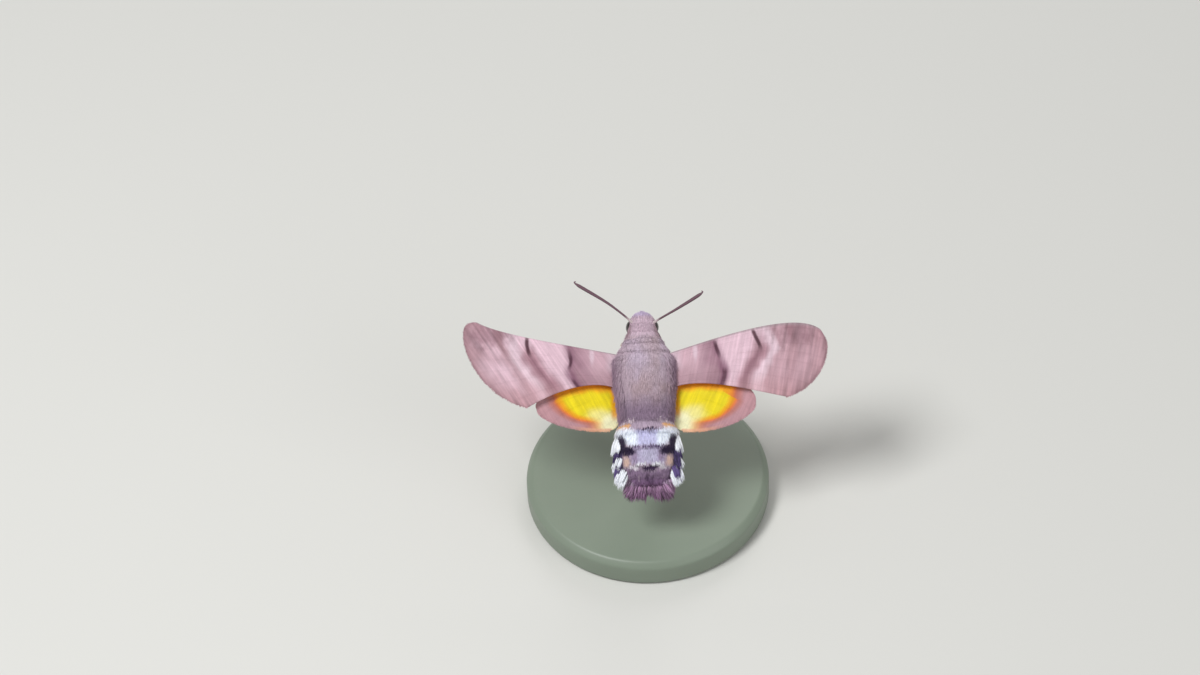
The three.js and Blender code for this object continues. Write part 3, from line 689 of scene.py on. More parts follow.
def shown(colours):
    """Colours a little lighter, as tufts shade each other's roots."""
    return 1 - (1 - np.clip(colours, 0, 1)) ** 1.25


# Short coat in pieces: first and last y, span, length as a share of the fur's, width, lift in degrees,
# tufts a square millimetre and unrest.
COATS = {
    "coat_head": (HEAD_END - 0.02, NECK - 0.25, ALL_ROUND, 0.6, 0.07, 6, 160, 0.09),
    "coat_thorax_right": (NECK, THORAX_END + 0.05, RIGHT_HALF, 1.0, 0.085, 5, 126, 0.08),
    "coat_thorax_left": (NECK, THORAX_END + 0.05, LEFT_HALF, 1.0, 0.085, 5, 126, 0.08),
    "coat_abdomen": (THORAX_END + 0.25, TAIL_START - 0.6, ALL_ROUND, 0.78, 0.13, 8, 72, 0.1),
}
PER_SQUARE_MM = 1e6
SKIN_GRID, COAT_GRID = (300, 145), (150, 97)


class MOTH_OT_coat(bpy.types.Operator):
    """Short fur on the head and thorax and scales on the abdomen, lying from the face to the tail"""

    bl_idname = "moth.coat"
    bl_label = "Coat"

    def execute(self, context):
        sizes = context.scene.moth_sizes
        depth = sizes.coat_depth / MM + 0.03
        for shift, (name, region) in enumerate(COATS.items()):
            first, last, span, share, wide, lift, density, unrest = region
            reach = share * sizes.fur_length / MM
            points, out, back, place, y = body_grid(COAT_GRID, first, last, depth, span)
            lift = math.radians(lift)
            lie = back * math.cos(lift) + out * math.sin(lift)
            colour_ahead = 0.5 * reach
            if "thorax" in name:
                flank = step(2.6, 4.0, np.abs(points[..., 0])) * step(-0.4, 0.3, out[..., 2])
                lie = unit(lie + 0.22 * flank[..., None] * out)
                colour_ahead = 0.0
            ease = step(first, first - 0.4, y) * 0.4 + 0.6
            colours = shown(body_colour(points + back * colour_ahead, out[..., 2]))
            faces = grid_faces(*points.shape[:2])
            cover = bare_eyes(points)
            skin = tuft_roots(name, points, lie, out, reach * ease, wide * ease, colours, place, cover, faces)
            grow(skin, "body_coat", SCALE, unrest, shift, density * PER_SQUARE_MM)
        return {"FINISHED"}


# Side tufts from front to rear: where their roots lie, their clumps, length, width, splay in degrees, colour
# and how dark and how light single hairs are.
SIDE_TUFTS = [
    (-8.55, -9.3, 6, 2.1, 1.05, 19, "#edf1fc", (0.9, 1.08)),
    (-9.7, -11.4, 7, 2.1, 1.0, 15, "#33274c", (0.5, 2.2)),
    (-11.1, -11.9, 6, 1.75, 1.1, 23, "#edf1fc", (0.9, 1.08)),
    (-11.8, -13.0, 6, 2.1, 1.0, 15, "#483a66", (0.5, 2.2)),
    (-12.5, -13.6, 8, 2.2, 1.3, 24, "#edf1fc", (0.9, 1.08)),
]
# Tiers of the tail fan from the top down: y and z of the roots, clumps, length, half spread, fan in degrees,
# notch and colour.
TAIL_TIERS = [
    (-14.0, -0.55, 11, 2.2, 2.2, 30, 0.0, "#a48aa6"),
    (-14.5, -0.9, 12, 2.9, 2.1, 32, 0.15, "#92708f"),
    (-14.6, -1.2, 13, 3.5, 2.0, 31, 0.35, "#805d7e"),
    (-14.6, -1.6, 12, 3.75, 1.8, 27, 0.5, "#62405f"),
    (-14.6, -2.0, 10, 3.0, 1.7, 28, 0.2, "#54374d"),
]
TAIL_LIGHT = (0.2, 1.75)
TAIL_CLUMP_WIDTH = 0.85
HAIRS_IN_CLUMP = 70
# Loose hairs of the thorax: first and last y, first and last angle, count, length, lift in degrees and
# colour, None for the skin's. They are the fringe over the abdomen, its sides painted pale as a
# highlight, flanks and collar.
REAR, THORAX_SIDE = THORAX_END, 1.15
LOOSE_HAIRS = [
    (REAR + 0.6, REAR + 0.25, -0.35, math.pi + 0.35, 2600, 0.42, 5, None),
    # The next two rows are painted pale: a painted highlight along the fringe's sides.
    (REAR + 0.26, REAR + 0.2, -0.3, THORAX_SIDE, 800, 0.42, 9, "#f3e6ea"),
    (REAR + 0.26, REAR + 0.2, math.pi - THORAX_SIDE, math.pi + 0.3, 800, 0.42, 9, "#f3e6ea"),
    (2.4, -5.4, -0.1, 0.75, 1800, 1.2, 20, None),
    (2.4, -5.4, math.pi - 0.75, math.pi + 0.1, 1800, 1.2, 20, None),
    (5.5, 4.3, -0.5, math.pi + 0.5, 2200, 0.7, 12, None),
]
CREST_HAIRS = 2200
TUFT_SEED_SHIFT = 50
SIDE_SEED, TAIL_SEED, THORAX_SEED = 31, 5, 9


def clump(rng, root, tip, across, over, width, tint, light, turn, turn_slope):
    """What the hairs of one clump need. They draw together from a broad root to a ragged tip."""
    count = HAIRS_IN_CLUMP
    spread = rng.uniform(-0.5, 0.5, (count, 1))
    rise = rng.uniform(-0.5, 0.5, (count, 1))
    ahead = (tip - root) * rng.uniform(0, 0.28, (count, 1))
    roots = root + across * spread * width + over * rise * 0.4 + ahead
    tips = tip + across * (spread * 0.8 + rng.normal(0, 0.05, (count, 1))) * width
    tips = tips + over * (rise * 0.3 + rng.normal(0, 0.04, (count, 1)))
    way = (tips - roots) * rng.uniform(0.8, 1.05, (count, 1))
    colours = np.clip(tone_of(tint) * rng.uniform(*light, (count, 1)), 0, 1)
    outs = np.broadcast_to(over, roots.shape)
    reach, wide = np.linalg.norm(way, axis=1), rng.uniform(0.09, 0.15, count)
    places = np.stack([turn + roots @ turn_slope, down_the_body(roots[:, 1])], -1)
    return roots, unit(way), outs, reach, wide, colours, places


class MOTH_OT_tufts(bpy.types.Operator):
    """White and dark tufts along the abdomen, the tail fan and the fringes of the thorax"""

    bl_idname = "moth.tufts"
    bl_label = "Tufts and tail fan"

    def execute(self, context):
        for side, name in SIDES:
            self.gather("tufts_" + name, self.side_tufts(side), "body_coat")
        self.gather("tail_tufts", self.tail_fan(), "tail_scales")
        self.gather("thorax_fringe", self.fringes(), "body_coat")
        return {"FINISHED"}

    def gather(self, name, parts, slot):
        """Grows the hairs of many clumps as one piece."""
        roots, lies, outs, reach, wide, colours, places = (np.concatenate(p) for p in zip(*parts))
        points = tuft_roots(name, roots, lies, outs, reach, wide, shown(colours), places)
        grow(points, slot, HAIR, 0.03, TUFT_SEED_SHIFT)

    def side_tufts(self, side):
        """Clumps along one side of the abdomen."""
        rng = np.random.default_rng(SIDE_SEED + side)
        parts = []
        for first, last, count, length, width, splay, tint, light in SIDE_TUFTS:
            for i in range(count):
                y = first + (last - first) * (i + 0.5) / count
                angle = math.radians((18, -14, 4)[i % 3] + rng.uniform(-6, 6))
                turn = angle if side > 0 else math.pi - angle
                root = body_point(np.array(y), np.array(turn), 0.4)
                out = unit(np.array([side * math.cos(angle), 0, 1.3 * math.sin(angle)]))
                lean = math.radians(splay + rng.uniform(-5, 5))
                way = out * math.sin(lean) - np.array([0, math.cos(lean), 0])
                over = unit(np.array([0.35 * side, 0, 1.0]))
                across = unit(np.cross(way, over))
                tip = root + way * length * rng.uniform(0.92, 1.06)
                place = ((turn + math.pi / 2) / (2 * math.pi) % 1, [0, 0, 0.01])
                parts.append(clump(rng, root, tip, across, over, width * 0.9, tint, light, *place))
        return parts

    def tail_fan(self):
        """Tiers of clumps that spread into two ragged lobes."""
        rng = np.random.default_rng(TAIL_SEED)
        parts = []
        for y, z, count, length, spread, fan, notch, tint in TAIL_TIERS:
            for i in range(count):
                at = 2 * i / (count - 1) - 1
                turn = math.radians(fan * at + rng.uniform(-3, 3))
                root = np.array([spread * at, y + 0.5 * (1 - at * at), z - 0.15 * at * at])
                way = unit(np.array([math.sin(turn), -math.cos(turn), -0.22]))
                lobe = 1 - 0.16 * abs(at) ** 3 - notch * math.exp(-((at / 0.16) ** 2)) * 0.45
                tip = root + way * length * lobe * rng.uniform(0.93, 1.04)
                across = unit(np.cross(way, [0, 0, 1.0]))
                over = np.cross(across, way)
                place = (0.5 + z * 0.05, [0.04, 0, 0])
                parts.append(clump(rng, root, tip, across, over, TAIL_CLUMP_WIDTH, tint, TAIL_LIGHT, *place))
        return parts

    def fringes(self):
        """Hairs that stand out along the thorax's edges, and the crest on the face."""
        rng = np.random.default_rng(THORAX_SEED)
        parts = []
        for first, last, low, high, count, reach, lift, tint in LOOSE_HAIRS:
            y = rng.uniform(last, first, count)
            angle = rng.uniform(low, high, count)
            roots = body_point(y, angle, 0.25)
            out, back = body_axes(y, angle, 0.2)
            lift = math.radians(lift)
            loose = 0.1 if tint is None else 0.04
            lies = unit(back * math.cos(lift) + out * math.sin(lift) + rng.normal(0, loose, roots.shape))
            colours = flat(tint, y) if tint else body_colour(roots, out[:, 2])
            lengths = reach * rng.uniform(0.8, 1.1, count)
            wide = rng.uniform(0.07, 0.12, count)
            parts.append((roots, lies, out, lengths, wide, colours, unwrap(angle, y)))
        parts.append(self.crest(rng))
        return parts

    def crest(self, rng):
        """Hairs that lie forward over the roots of the palps and meet in a blunt point."""
        count = CREST_HAIRS
        y, angle = 7.9 - 1.4 * rng.random(count) ** 1.6, rng.uniform(-0.2, math.pi + 0.2, count)
        roots = body_point(y, angle, 0.25)
        tips = np.array([0, 8.45, -0.3]) + (roots - [0, 7.3, 0]) * [0.4, 0.1, 0.35]
        tips[:, 1] -= 1.1 * np.abs(tips[:, 0])
        lies = unit(tips - roots + rng.normal(0, 0.06, roots.shape))
        out = unit(np.stack([np.cos(angle), np.full(count, 0.35), np.sin(angle)], -1))
        lies = unit(lies - out * (lies * out).sum(-1, keepdims=True) * 0.8 + out * 0.12)
        reach = np.minimum(0.9, np.linalg.norm(tips - roots, axis=1)) * rng.uniform(0.6, 0.95, count)
        wide = rng.uniform(0.05, 0.085, count)
        return roots, lies, out, reach, wide, body_colour(roots, out[:, 2]), unwrap(angle, y)


# Wings. Outline patches in millimetres of the moth's own frame, x outwards.
FOREWINGS = {
    "left": {
        "front": [(3.0, 2.3), (10.5, 4.0), (19.5, 5.6), (22.6, 7.5)],
        "rear": [(3.0, -2.6), (7.0, -0.4), (12.4, -2.4), (16.1, -4.4)],
        "outer": [(22.6, 7.5), (26.5, 8.5), (24.2, -2.4), (16.1, -4.4)],
    },
    "right": {
        "front": [(3.0, 2.2), (11.0, 4.4), (21.1, 7.3), (24.3, 4.6)],
        "rear": [(3.0, -2.7), (7.0, -0.9), (13.0, -2.9), (19.2, -4.4)],
        "outer": [(24.3, 4.6), (26.3, 1.9), (24.0, -3.4), (19.2, -4.4)],
    },
}
HINDWINGS = {
    "left": {
        "front": [(3.0, -0.7), (8.0, -0.4), (14.2, -1.2), (15.1, -4.1)],
        "rear": [(3.0, -5.9), (3.7, -6.8), (4.1, -7.8), (5.0, -7.8)],
        "outer": [(15.1, -4.1), (15.1, -6.3), (9.4, -8.0), (5.0, -7.8)],
    },
    "right": {
        "front": [(3.0, -0.7), (8.0, -0.4), (14.2, -1.2), (15.1, -4.1)],
        "rear": [(3.0, -5.9), (3.7, -7.0), (4.1, -8.2), (5.0, -8.25)],
        "outer": [(15.1, -4.1), (15.8, -6.9), (9.4, -8.9), (5.0, -8.25)],
    },
}
# Veins: where each leaves the root or the cell's end, and its place across the wing.
FORE_VEINS = [(0, 0.07), (0.1, 0.17), (0.42, 0.29), (0.42, 0.4), (0.42, 0.51), (0.42, 0.62)]
FORE_VEINS += [(0, 0.73), (0, 0.9)]
HIND_VEINS = [(0, 0.1), (0.4, 0.25), (0.4, 0.41), (0.4, 0.57), (0, 0.73), (0, 0.88)]
CELL_END = 0.42
WING_ROOT_HEIGHT, DIHEDRAL, HINDWING_DROP = 0.95, math.radians(8), 1.2
# Cross lines of the forewings as paths from the leading to the rear edge, from the innermost outwards.
FORE_LINES = {
    "right": {
        "inner": [(9.7, 4.3), (9.95, 3.0), (10.5, 1.1), (11.0, -0.7), (10.4, -2.6)],
        "outer": [(14.9, 5.6), (15.3, 4.3), (16.0, 2.3), (14.9, 0.6), (13.9, -1.2), (13.4, -3.4)],
        "far": [(20.6, 6.8), (20.2, 4.8), (20.8, 2.7), (20.2, -0.4), (19.0, -3.6)],
    },
    "left": {
        "inner": [(10.6, 4.2), (10.0, 1.9), (10.3, 0.3), (9.6, -1.2), (9.0, -2.0)],
        "outer": [(15.8, 5.8), (15.9, 3.9), (15.2, 1.8), (13.5, -0.5), (12.2, -2.2)],
        "far": [(20.2, 7.2), (19.6, 4.6), (18.5, 2.3), (16.8, -0.4), (15.2, -3.2)],
    },
}
# How far the streaks of each forewing lean outwards from the rear edge to the leading edge.
STREAK_LEAN = {"right": 0.22, "left": 0.62}


def edge_curve(corners, t):
    """Points of a curve that starts and ends at the outer two of four corners and leans to the others."""
    a, b, c, d = (np.array(p) for p in corners)
    t = np.asarray(t)[..., None]
    return a * (1 - t) ** 3 + 3 * b * t * (1 - t) ** 2 + 3 * c * t * t * (1 - t) + d * t**3


def wing_patch(wing, s, v):
    """Points of a wing's outline: s from the root to the margin, v from the leading to the rear edge."""
    f, r = np.array(wing["front"][0]), np.array(wing["rear"][0])
    a, t = np.array(wing["outer"][0]), np.array(wing["outer"][3])
    s1, v1 = s[..., None], v[..., None]
    across = edge_curve(wing["front"], s) * (1 - v1) + edge_curve(wing["rear"], s) * v1
    along = (f * (1 - v1) + r * v1) * (1 - s1) + edge_curve(wing["outer"], v) * s1
    corners = (f * (1 - v1) + r * v1) * (1 - s1) + (a * (1 - v1) + t * v1) * s1
    return across + along - corners


def sheet_height(x, y):
    """Height of the sheet that both wings lie along, x outwards."""
    out = np.maximum(0, x - 3)
    from_axis = y - (1.2 + 0.06 * out)
    return WING_ROOT_HEIGHT + out * math.tan(DIHEDRAL) - 0.0022 * out**2 - 0.01 * from_axis**2


def distance_to(path, x, y):
    """Distance from points to a smooth path, and how far along it the nearest place is, from 0 to 1."""
    path = smooth_path(np.column_stack([np.array(path, float), np.zeros(len(path))]), 60)[:, :2]
    gaps = np.hypot(x[..., None] - path[:, 0], y[..., None] - path[:, 1])
    nearest = gaps.argmin(-1)
    return np.take_along_axis(gaps, nearest[..., None], -1)[..., 0], nearest / (len(path) - 1)


def line_at(path, y):
    """How far out a cross line of the wing lies at each y."""
    across, along = zip(*reversed(path))
    return np.interp(y, along, across)


def vein_mask(veins, s, v, half):
    """1 along each vein and the one across the cell's end, falling to 0 at half a vein's width."""
    mask = np.zeros(s.shape)
    for start, at in veins:
        mask = np.maximum(mask, step(half, 0.2 * half, np.abs(v - at)) * step(start - 0.01, start + 0.01, s))
    low, high = veins[0][1], [at for start, at in veins if start == 0][-2]
    cross = step(0.012, 0.003, np.abs(s - CELL_END)) * (v > low) * (v < high)
    return np.maximum(mask, cross)


def forewing_colours(x, y, s, v, name):
    """Upper and lower colours of a forewing."""
    c = bpy.context.scene.moth_colours
    right = name == "right"
    lines = FORE_LINES[name]
    inner, along_inner = distance_to(lines["inner"], x, y)
    outer, along_outer = distance_to(lines["outer"], x, y)
    far, along_far = distance_to(lines["far"], x, y)
    margin, _ = distance_to(edge_curve(FOREWINGS[name]["outer"], np.linspace(0, 1, 12)), x, y)
    bend, past = x - line_at(lines["inner"], y), x - line_at(lines["outer"], y)
    u = x - STREAK_LEAN[name] * y
    streaks = 0.6 * grain(u * 0.9, y * 0.12, 20) + grain(u * 2.1, y * 0.22, 21)
    streaks = streaks + 0.7 * grain(u * 5.2, y * 0.5, 22)
    haze = grain(x * 0.9, y * 0.9, 23)
    base = step(0.25, -0.25, bend)
    core = step(0.34, 0.12, inner + 0.06 * haze)
    outer_tone, outer_share = ("#ba949e", 0.85) if right else ("#c9a6b2", 0.1)
    smudge = (20.6, 4.2) if right else (21.2, 5.6)
    top = paint(
        flat(c.wing_pale, x),
        # Base, up to the inner cross line
        ("#c7a4b0", base),
        ("#92697a", base * step(-4.2, -0.6, bend + 0.5 * haze) * 0.75),
        ("#98757f", base * step(1.6, -1.6, y + 0.5 * haze) * 0.6),
        ("#dbc4d0", blob(x, y, (7.1, 2.4), (0.3, 1.2), 0.6, 0.2, 24) * 0.7),
        ("#dcc6d2", step(5.6, 4.2, x + 0.4 * haze) * step(-0.5, 1.0, y) * 0.6),
        # Inner and outer cross lines
        ("#80536a", step(0.95, 0.1, inner + 0.15 * haze) * (0.45 + 0.4 * step(0.4, 0.7, along_inner))),
        (c.wing_dark, core * band(along_inner, 0.14, 0.44, 0.1) * 0.95),
        (c.wing_dark, core * step(0.62, 0.75, along_inner) * 0.75),
        (c.wing_brown, step(1.5, 0.35, outer + 0.3 * haze) * step(0.15, 0.4, along_outer) * 0.8),
        ("#7c5060", step(0.6, 0.1, outer + 0.2 * haze) * step(0.35, 0.5, along_outer) * 0.5),
        ("#4a2230", step(0.36, 0.12, outer + 0.06 * haze) * band(along_outer, 0.08, 0.4, 0.08) * 0.94),
        # Outer field with its far line, and the margin
        (outer_tone, step(1.6, 3.0, past + 0.4 * haze) * outer_share),
        ("#987279", step(1.0, 0.2, far + 0.4 * haze) * step(0.75, 0.3, along_far) * 0.85),
        ("#ac868f", step(1.0, 0.2, far + 0.4 * haze) * step(0.4, 0.7, along_far) * 0.55),
        ("#e0c9d4", band(past + 0.3 * haze, 1.4, 2.7, 0.4) * 0.55),
        ("#a9848d", step(5.2, 2.0, margin + 0.6 * haze) * step(0.5, 3.0, y) * 0.6),
        ("#a9848c", step(2.4, 0.5, margin + 0.5 * haze) * 0.65),
        ("#96727a", step(0.6, 0.1, margin) * 0.6),
        # Smudge near the tip, the rear edge and the leading edge
        ("#8a6570", blob(x, y, smudge, (2.9, 1.5), 0.7, 0.35, 26) * 0.6),
        ("#b98e95", step(0.6, 0.95, v) * step(0.45, 0.75, s) * 0.6),
        ("#9a878d", step(0.06, 0.012, v) * 0.75),
    )
    top = top * (1 + (0.05 + 0.11 * step(0.25, 0.6, s))[..., None] * streaks[..., None])
    low = paint(
        flat("#b98560", x),
        ("#cf9450", step(9, 5, x) * step(1.5, -1.5, y) * 0.7),
        ("#8f6a66", step(3.2, 0.5, margin) * 0.8),
        ("#a98d86", step(0.12, 0.03, v) * 0.8),
    )
    low = low * (1 + 0.06 * streaks[..., None])
    return np.clip(top, 0, 1), np.clip(low, 0, 1)


def hindwing_colours(x, y, s, v, name):
    """Upper and lower colours of a hindwing."""
    c = bpy.context.scene.moth_colours
    margin, along = distance_to(edge_curve(HINDWINGS[name]["outer"], np.linspace(0, 1, 12)), x, y)
    cover = edge_curve(FOREWINGS[name]["rear"], np.linspace(0, 1, 80))
    below = np.interp(x, cover[:, 0], cover[:, 1]) - y
    radius, turn = np.hypot(x - 3, y + 1), np.arctan2(y, x)
    arcs = 1 + 0.05 * (grain(radius * 2.0, turn * 3, 41) + 0.6 * grain(radius * 5.0, turn * 5, 42))[..., None]
    haze = grain(x * 0.8, y * 0.8, 43)
    reach = margin / (1.0 + 1.6 * step(0.75, 0.1, along))
    top = paint(
        flat(c.yellow, x),
        # Cream inner corner, and orange along the forewing and the body, painted brighter just under the
        # forewing's edge as painted light against its shadow
        ("#ecdf62", step(9.6, 6.4, x + 0.6 * haze) * step(-4.1, -6.0, y + 0.3 * haze) * 0.8),
        ("#f1efc6", step(8.6, 5.6, x + 0.6 * haze) * step(-4.5, -6.6, y + 0.3 * haze) * 0.95),
        (c.orange, step(1.15, 0.25, below + 0.25 * haze) * 0.92),
        # Painted light: the real orange made brighter right under the forewing's edge, where its shadow
        # falls.
        ("#f08a10", step(0.55, 0.05, below) * 0.8),
        ("#e8960f", step(5.0, 4.4, x) * band(y, -6.2, -2, 0.6) * 0.8),
        # Orange, red-brown and pale margin
        (c.orange, step(2.0, 1.45, reach + 0.15 * haze) * step(0.98, 0.7, along) * 0.85),
        ("#e2703f", step(1.5, 1.15, reach + 0.12 * haze) * step(0.97, 0.75, along) * 0.85),
        (c.rust, step(1.25, 0.9, reach) * step(0.95, 0.7, along) * 0.95),
        ("#ba9099", step(0.95, 0.5, reach) * step(0.93, 0.6, along) * 0.9),
        ("#e2a98c", step(0.45, 0.12, margin) * step(0.55, 0.85, along) * 0.85),
    )
    low = paint(
        flat("#c98a3c", x),
        ("#e2c04a", step(7.5, 4.5, x) * 0.9),
        ("#9c6a50", step(2.4, 0.4, margin) * 0.75),
    )
    return np.clip(top * arcs, 0, 1), np.clip(low * arcs, 0, 1)


# Each pair of wings: outlines, drop under the common sheet, veins, colours, rows and columns of its grid, and
# half a vein's width.
WINGS = {
    "forewing": (FOREWINGS, 0.0, FORE_VEINS, forewing_colours, 210, 150, 0.014),
    "hindwing": (HINDWINGS, HINDWING_DROP, HIND_VEINS, hindwing_colours, 130, 120, 0.016),
}
VEIN_RISE = 0.03
HIND_STREAK_LEAN = 0.5
FRINGE_SCALES, FRINGE_LENGTH, FRINGE_SEED, FRINGE_SEED_SHIFT = 1300, 0.5, 17, 80


def wing(kind, side, name):
    """A wing as one closed sheet with raised veins. Gives the colours along its outer margin too."""
    patches, drop, veins, colours_of, rows, columns, half_vein = WINGS[kind]
    thin = bpy.context.scene.moth_sizes.wing_thickness / MM / 2
    s, v = np.meshgrid(1 - (1 - np.linspace(0, 1, rows)) ** 1.15, np.linspace(0, 1, columns), indexing="ij")
    x, y = np.moveaxis(wing_patch(patches[name], s, v), -1, 0)
    ripple = 0.018 * np.sin(v * 40) * step(0.15, 0.5, s) + 0.04 * grain(x * 0.7, y * 1.2, 51)
    middle = sheet_height(x, y) - drop + ripple
    on_vein = vein_mask(veins, s, v, half_vein)
    edge = np.minimum(step(0, 0.02, v) * step(1, 0.985, v), step(1, 0.99, s))
    raised = (thin + VEIN_RISE * on_vein * (1 - 0.4 * s)) * (0.35 + 0.65 * edge)
    tops, lows = colours_of(x, y, s, v, name)
    tops, lows = tops * (1 - 0.04 * on_vein[..., None]), lows * (1 - 0.14 * on_vein[..., None])
    count = rows * columns
    i, j = np.arange(rows - 1) * columns, np.arange(columns - 1)
    rims = np.concatenate(
        [
            np.stack([i, i + columns, i + columns + count, i + count], -1),
            np.stack([i + columns, i, i + count, i + columns + count], -1) + columns - 1,
            np.stack([j + 1, j, j + count, j + 1 + count], -1),
            np.stack([j, j + 1, j + 1 + count, j + count], -1) + (rows - 1) * columns,
        ]
    )
    top_faces = grid_faces(rows, columns, 0, flip=side < 0)
    low_faces = grid_faces(rows, columns, count, flip=side > 0)
    faces = np.concatenate([top_faces, low_faces, rims[:, ::-1] if side < 0 else rims])
    lean = STREAK_LEAN[name] if kind == "forewing" else HIND_STREAK_LEAN
    swing = np.stack([x - lean * y, y, 0 * x], -1)
    uv = np.stack([s, v * 0.48], -1).reshape(-1, 2)
    uv = np.concatenate([uv, uv + [0, 0.51]])
    sheets = [np.stack([side * x, y, middle + rise], -1) for rise in (raised, -raised)]
    obj = mesh_object(
        f"wing_{kind}_{name}",
        to_frame(sheets),
        faces,
        vectors={"wing_place": [swing, swing]},
        colours={"coat_colour": [tops, lows]},
        uv=uv[faces.reshape(-1)],
    )
    smooth(obj)
    finish_piece(obj, kind, wing_scales, f"{kind}_{name}")
    return tops[-3]


def fringe(kind, side, name, tones):
    """Short scales that stand out from a wing's outer margin, in the margin's own colours."""
    rng = np.random.default_rng(FRINGE_SEED)
    patch, drop = WINGS[kind][0][name], WINGS[kind][1]
    count, columns = FRINGE_SCALES, len(tones)
    t = np.sort(rng.uniform(0.0, 1.0, count))
    edge = edge_curve(patch["outer"], t)
    ahead, behind = (edge_curve(patch["outer"], np.clip(t + e, 0, 1)) for e in (0.01, -0.01))
    along = unit(ahead - behind)
    outward = np.stack([-along[:, 1], along[:, 0]], -1)
    inner = wing_patch(patch, np.full(count, 0.9), t)
    outward *= np.sign(((edge - inner) * outward).sum(-1, keepdims=True))
    x, y = (edge - outward * 0.3).T
    roots = np.stack([side * x, y, sheet_height(x, y) - drop], -1)
    lies = np.stack([side * outward[:, 0], outward[:, 1], rng.normal(0, 0.05, count)], -1)
    outs = np.broadcast_to(np.array([0, 0, 1.0]), roots.shape)
    colours = tones[np.clip((t * (columns - 1)).astype(int), 0, columns - 1)]
    colours = np.clip(colours * rng.uniform(0.85, 1.12, (count, 1)), 0, 1)
    places = np.stack([np.full(count, 0.97), t], -1)
    reach = FRINGE_LENGTH * rng.uniform(0.8, 1.1, count) * (0.4 + 0.6 * step(0.0, 0.2, t))
    wide = rng.uniform(0.07, 0.12, count)
    points = tuft_roots(f"fringe_{kind}_{name}", roots, unit(lies), outs, reach, wide, colours, places)
    grow(points, kind, EDGE_SCALE, 0.04, FRINGE_SEED_SHIFT)


class MOTH_OT_wings(bpy.types.Operator):
    """Forewings and hindwings with their markings, veins and fringes"""

    bl_idname = "moth.wings"
    bl_label = "Wings"

    def execute(self, context):
        for side, name in SIDES:
            for kind in WINGS:
                fringe(kind, side, name, wing(kind, side, name))
        return {"FINISHED"}


# Head pieces and limbs

FEELERS = {
    "left": [(1.05, 6.2, 0.3), (1.45, 6.9, 0.9), (4.6, 9.4, 2.7), (8.75, 11.9, 5.0), (8.87, 12.32, 5.12)],
    "right": [(1.2, 6.05, 0.4), (1.75, 6.75, 1.0), (4.8, 8.1, 3.9), (8.1, 9.7, 6.9), (8.22, 10.12, 7.02)],
}
FEELER_RINGS = 52
PALP = [(1.1, 6.1, -2.3), (0.8, 7.8, -2.2), (0.22, 7.8, -0.5)]
PROBOSCIS = [(0, 6.5, -1.2), (0, 7.3, -3.4), (0, 7.5, -7), (0, 7.7, -12), (0, 9.0, -17), (0, 10.6, -20)]
# Paths of the legs, from inside the thorax over hip, knee and ankle to the claw.
LEGS = {
    "fore": [(1.3, 2.6, -2.1), (1.3, 2.6, -3.0), (2.3, 3.8, -4.2), (2.6, 4.2, -4.6)]
    + [(2.3, 3.1, -5.0), (1.8, 1.4, -5.5), (1.6, -1.6, -5.7)],
    "mid": [(1.7, 0.2, -2.1), (1.7, 0.2, -3.0), (3.2, 1.4, -4.0), (3.7, 1.8, -4.3)]
    + [(3.4, 0.2, -4.6), (2.9, -2.2, -5.0), (2.4, -6.0, -5.5)],
    "hind": [(1.7, -2.6, -2.0), (1.7, -2.6, -2.9), (3.5, -3.8, -3.7), (4.1, -4.2, -4.0)]
    + [(3.7, -5.9, -4.4), (3.1, -8.4, -4.9), (2.4, -13.0, -5.2)],
}
PALP_SEED_SHIFT, LEG_SEED_SHIFT = 90, 100
# Sides and rings of each tube, those of the eye, and how far its first ring lies from its pole, in radians.
FEELER_GRID, PALP_GRID, PROBOSCIS_GRID, LEG_GRID = (18, 330), (18, 40), (20, 260), (16, 150)
EYE_GRID, EYE_POLE = (49, 73), 0.02
PROBOSCIS_FLATNESS = 0.3


def feeler_radius(t):
    club = 0.14 + 0.09 * step(0.2, 0.85, t)
    rings = 1 + 0.025 * np.sin(t * FEELER_RINGS * 2 * math.pi) * step(0.12, 0.2, t)
    return club * rings * (1 - 0.75 * step(0.88, 1.0, t)) + 0.05 * step(0.16, 0.1, t)


def palp_radius(t):
    return 0.08 + 0.33 * np.sin(math.pi * np.minimum(1, 0.15 + 0.85 * t)) ** 0.9


def proboscis_radius(t):
    return 0.31 - 0.13 * t - 0.08 * step(0.97, 1, t)


def leg_radius(t):
    shaft = 0.44 - 0.25 * step(0.1, 0.66, t) - 0.05 * t
    knots = 1 - 0.18 * step(0.6, 0.66, t) * np.abs(np.sin((t - 0.66) * math.pi / 0.068)) ** 4
    knee = 1 + 0.12 * np.exp(-(((t - 0.36) / 0.03) ** 2))
    return shaft * knots * knee * (1 - 0.6 * step(0.97, 1, t))


class MOTH_OT_feelers(bpy.types.Operator):
    """Clubbed antennae with fine rings and a small hooked point"""

    bl_idname = "moth.feelers"
    bl_label = "Antennae"

    def execute(self, context):
        horn_colour = context.scene.moth_colours.horn
        for side, name in SIDES:
            path = np.array(FEELERS[name]) * [side, 1, 1]
            points, out, _, place = tube(path, feeler_radius, *FEELER_GRID)
            tint = paint(
                flat(horn_colour, points[..., 0]),
                # Painted highlight: the upper side of each feeler is lighter.
                ("#957483", step(0.2, 0.9, out[..., 2]) * 0.45),
                ("#cfc0c2", step(0.22, 0.12, place[..., 1]) * 0.85),
            )
            obj = closed_tube("feeler_" + name, points, place, colours={"coat_colour": tint})
            finish_piece(obj, "feeler", horn_scales, "antenna_" + name)
        return {"FINISHED"}


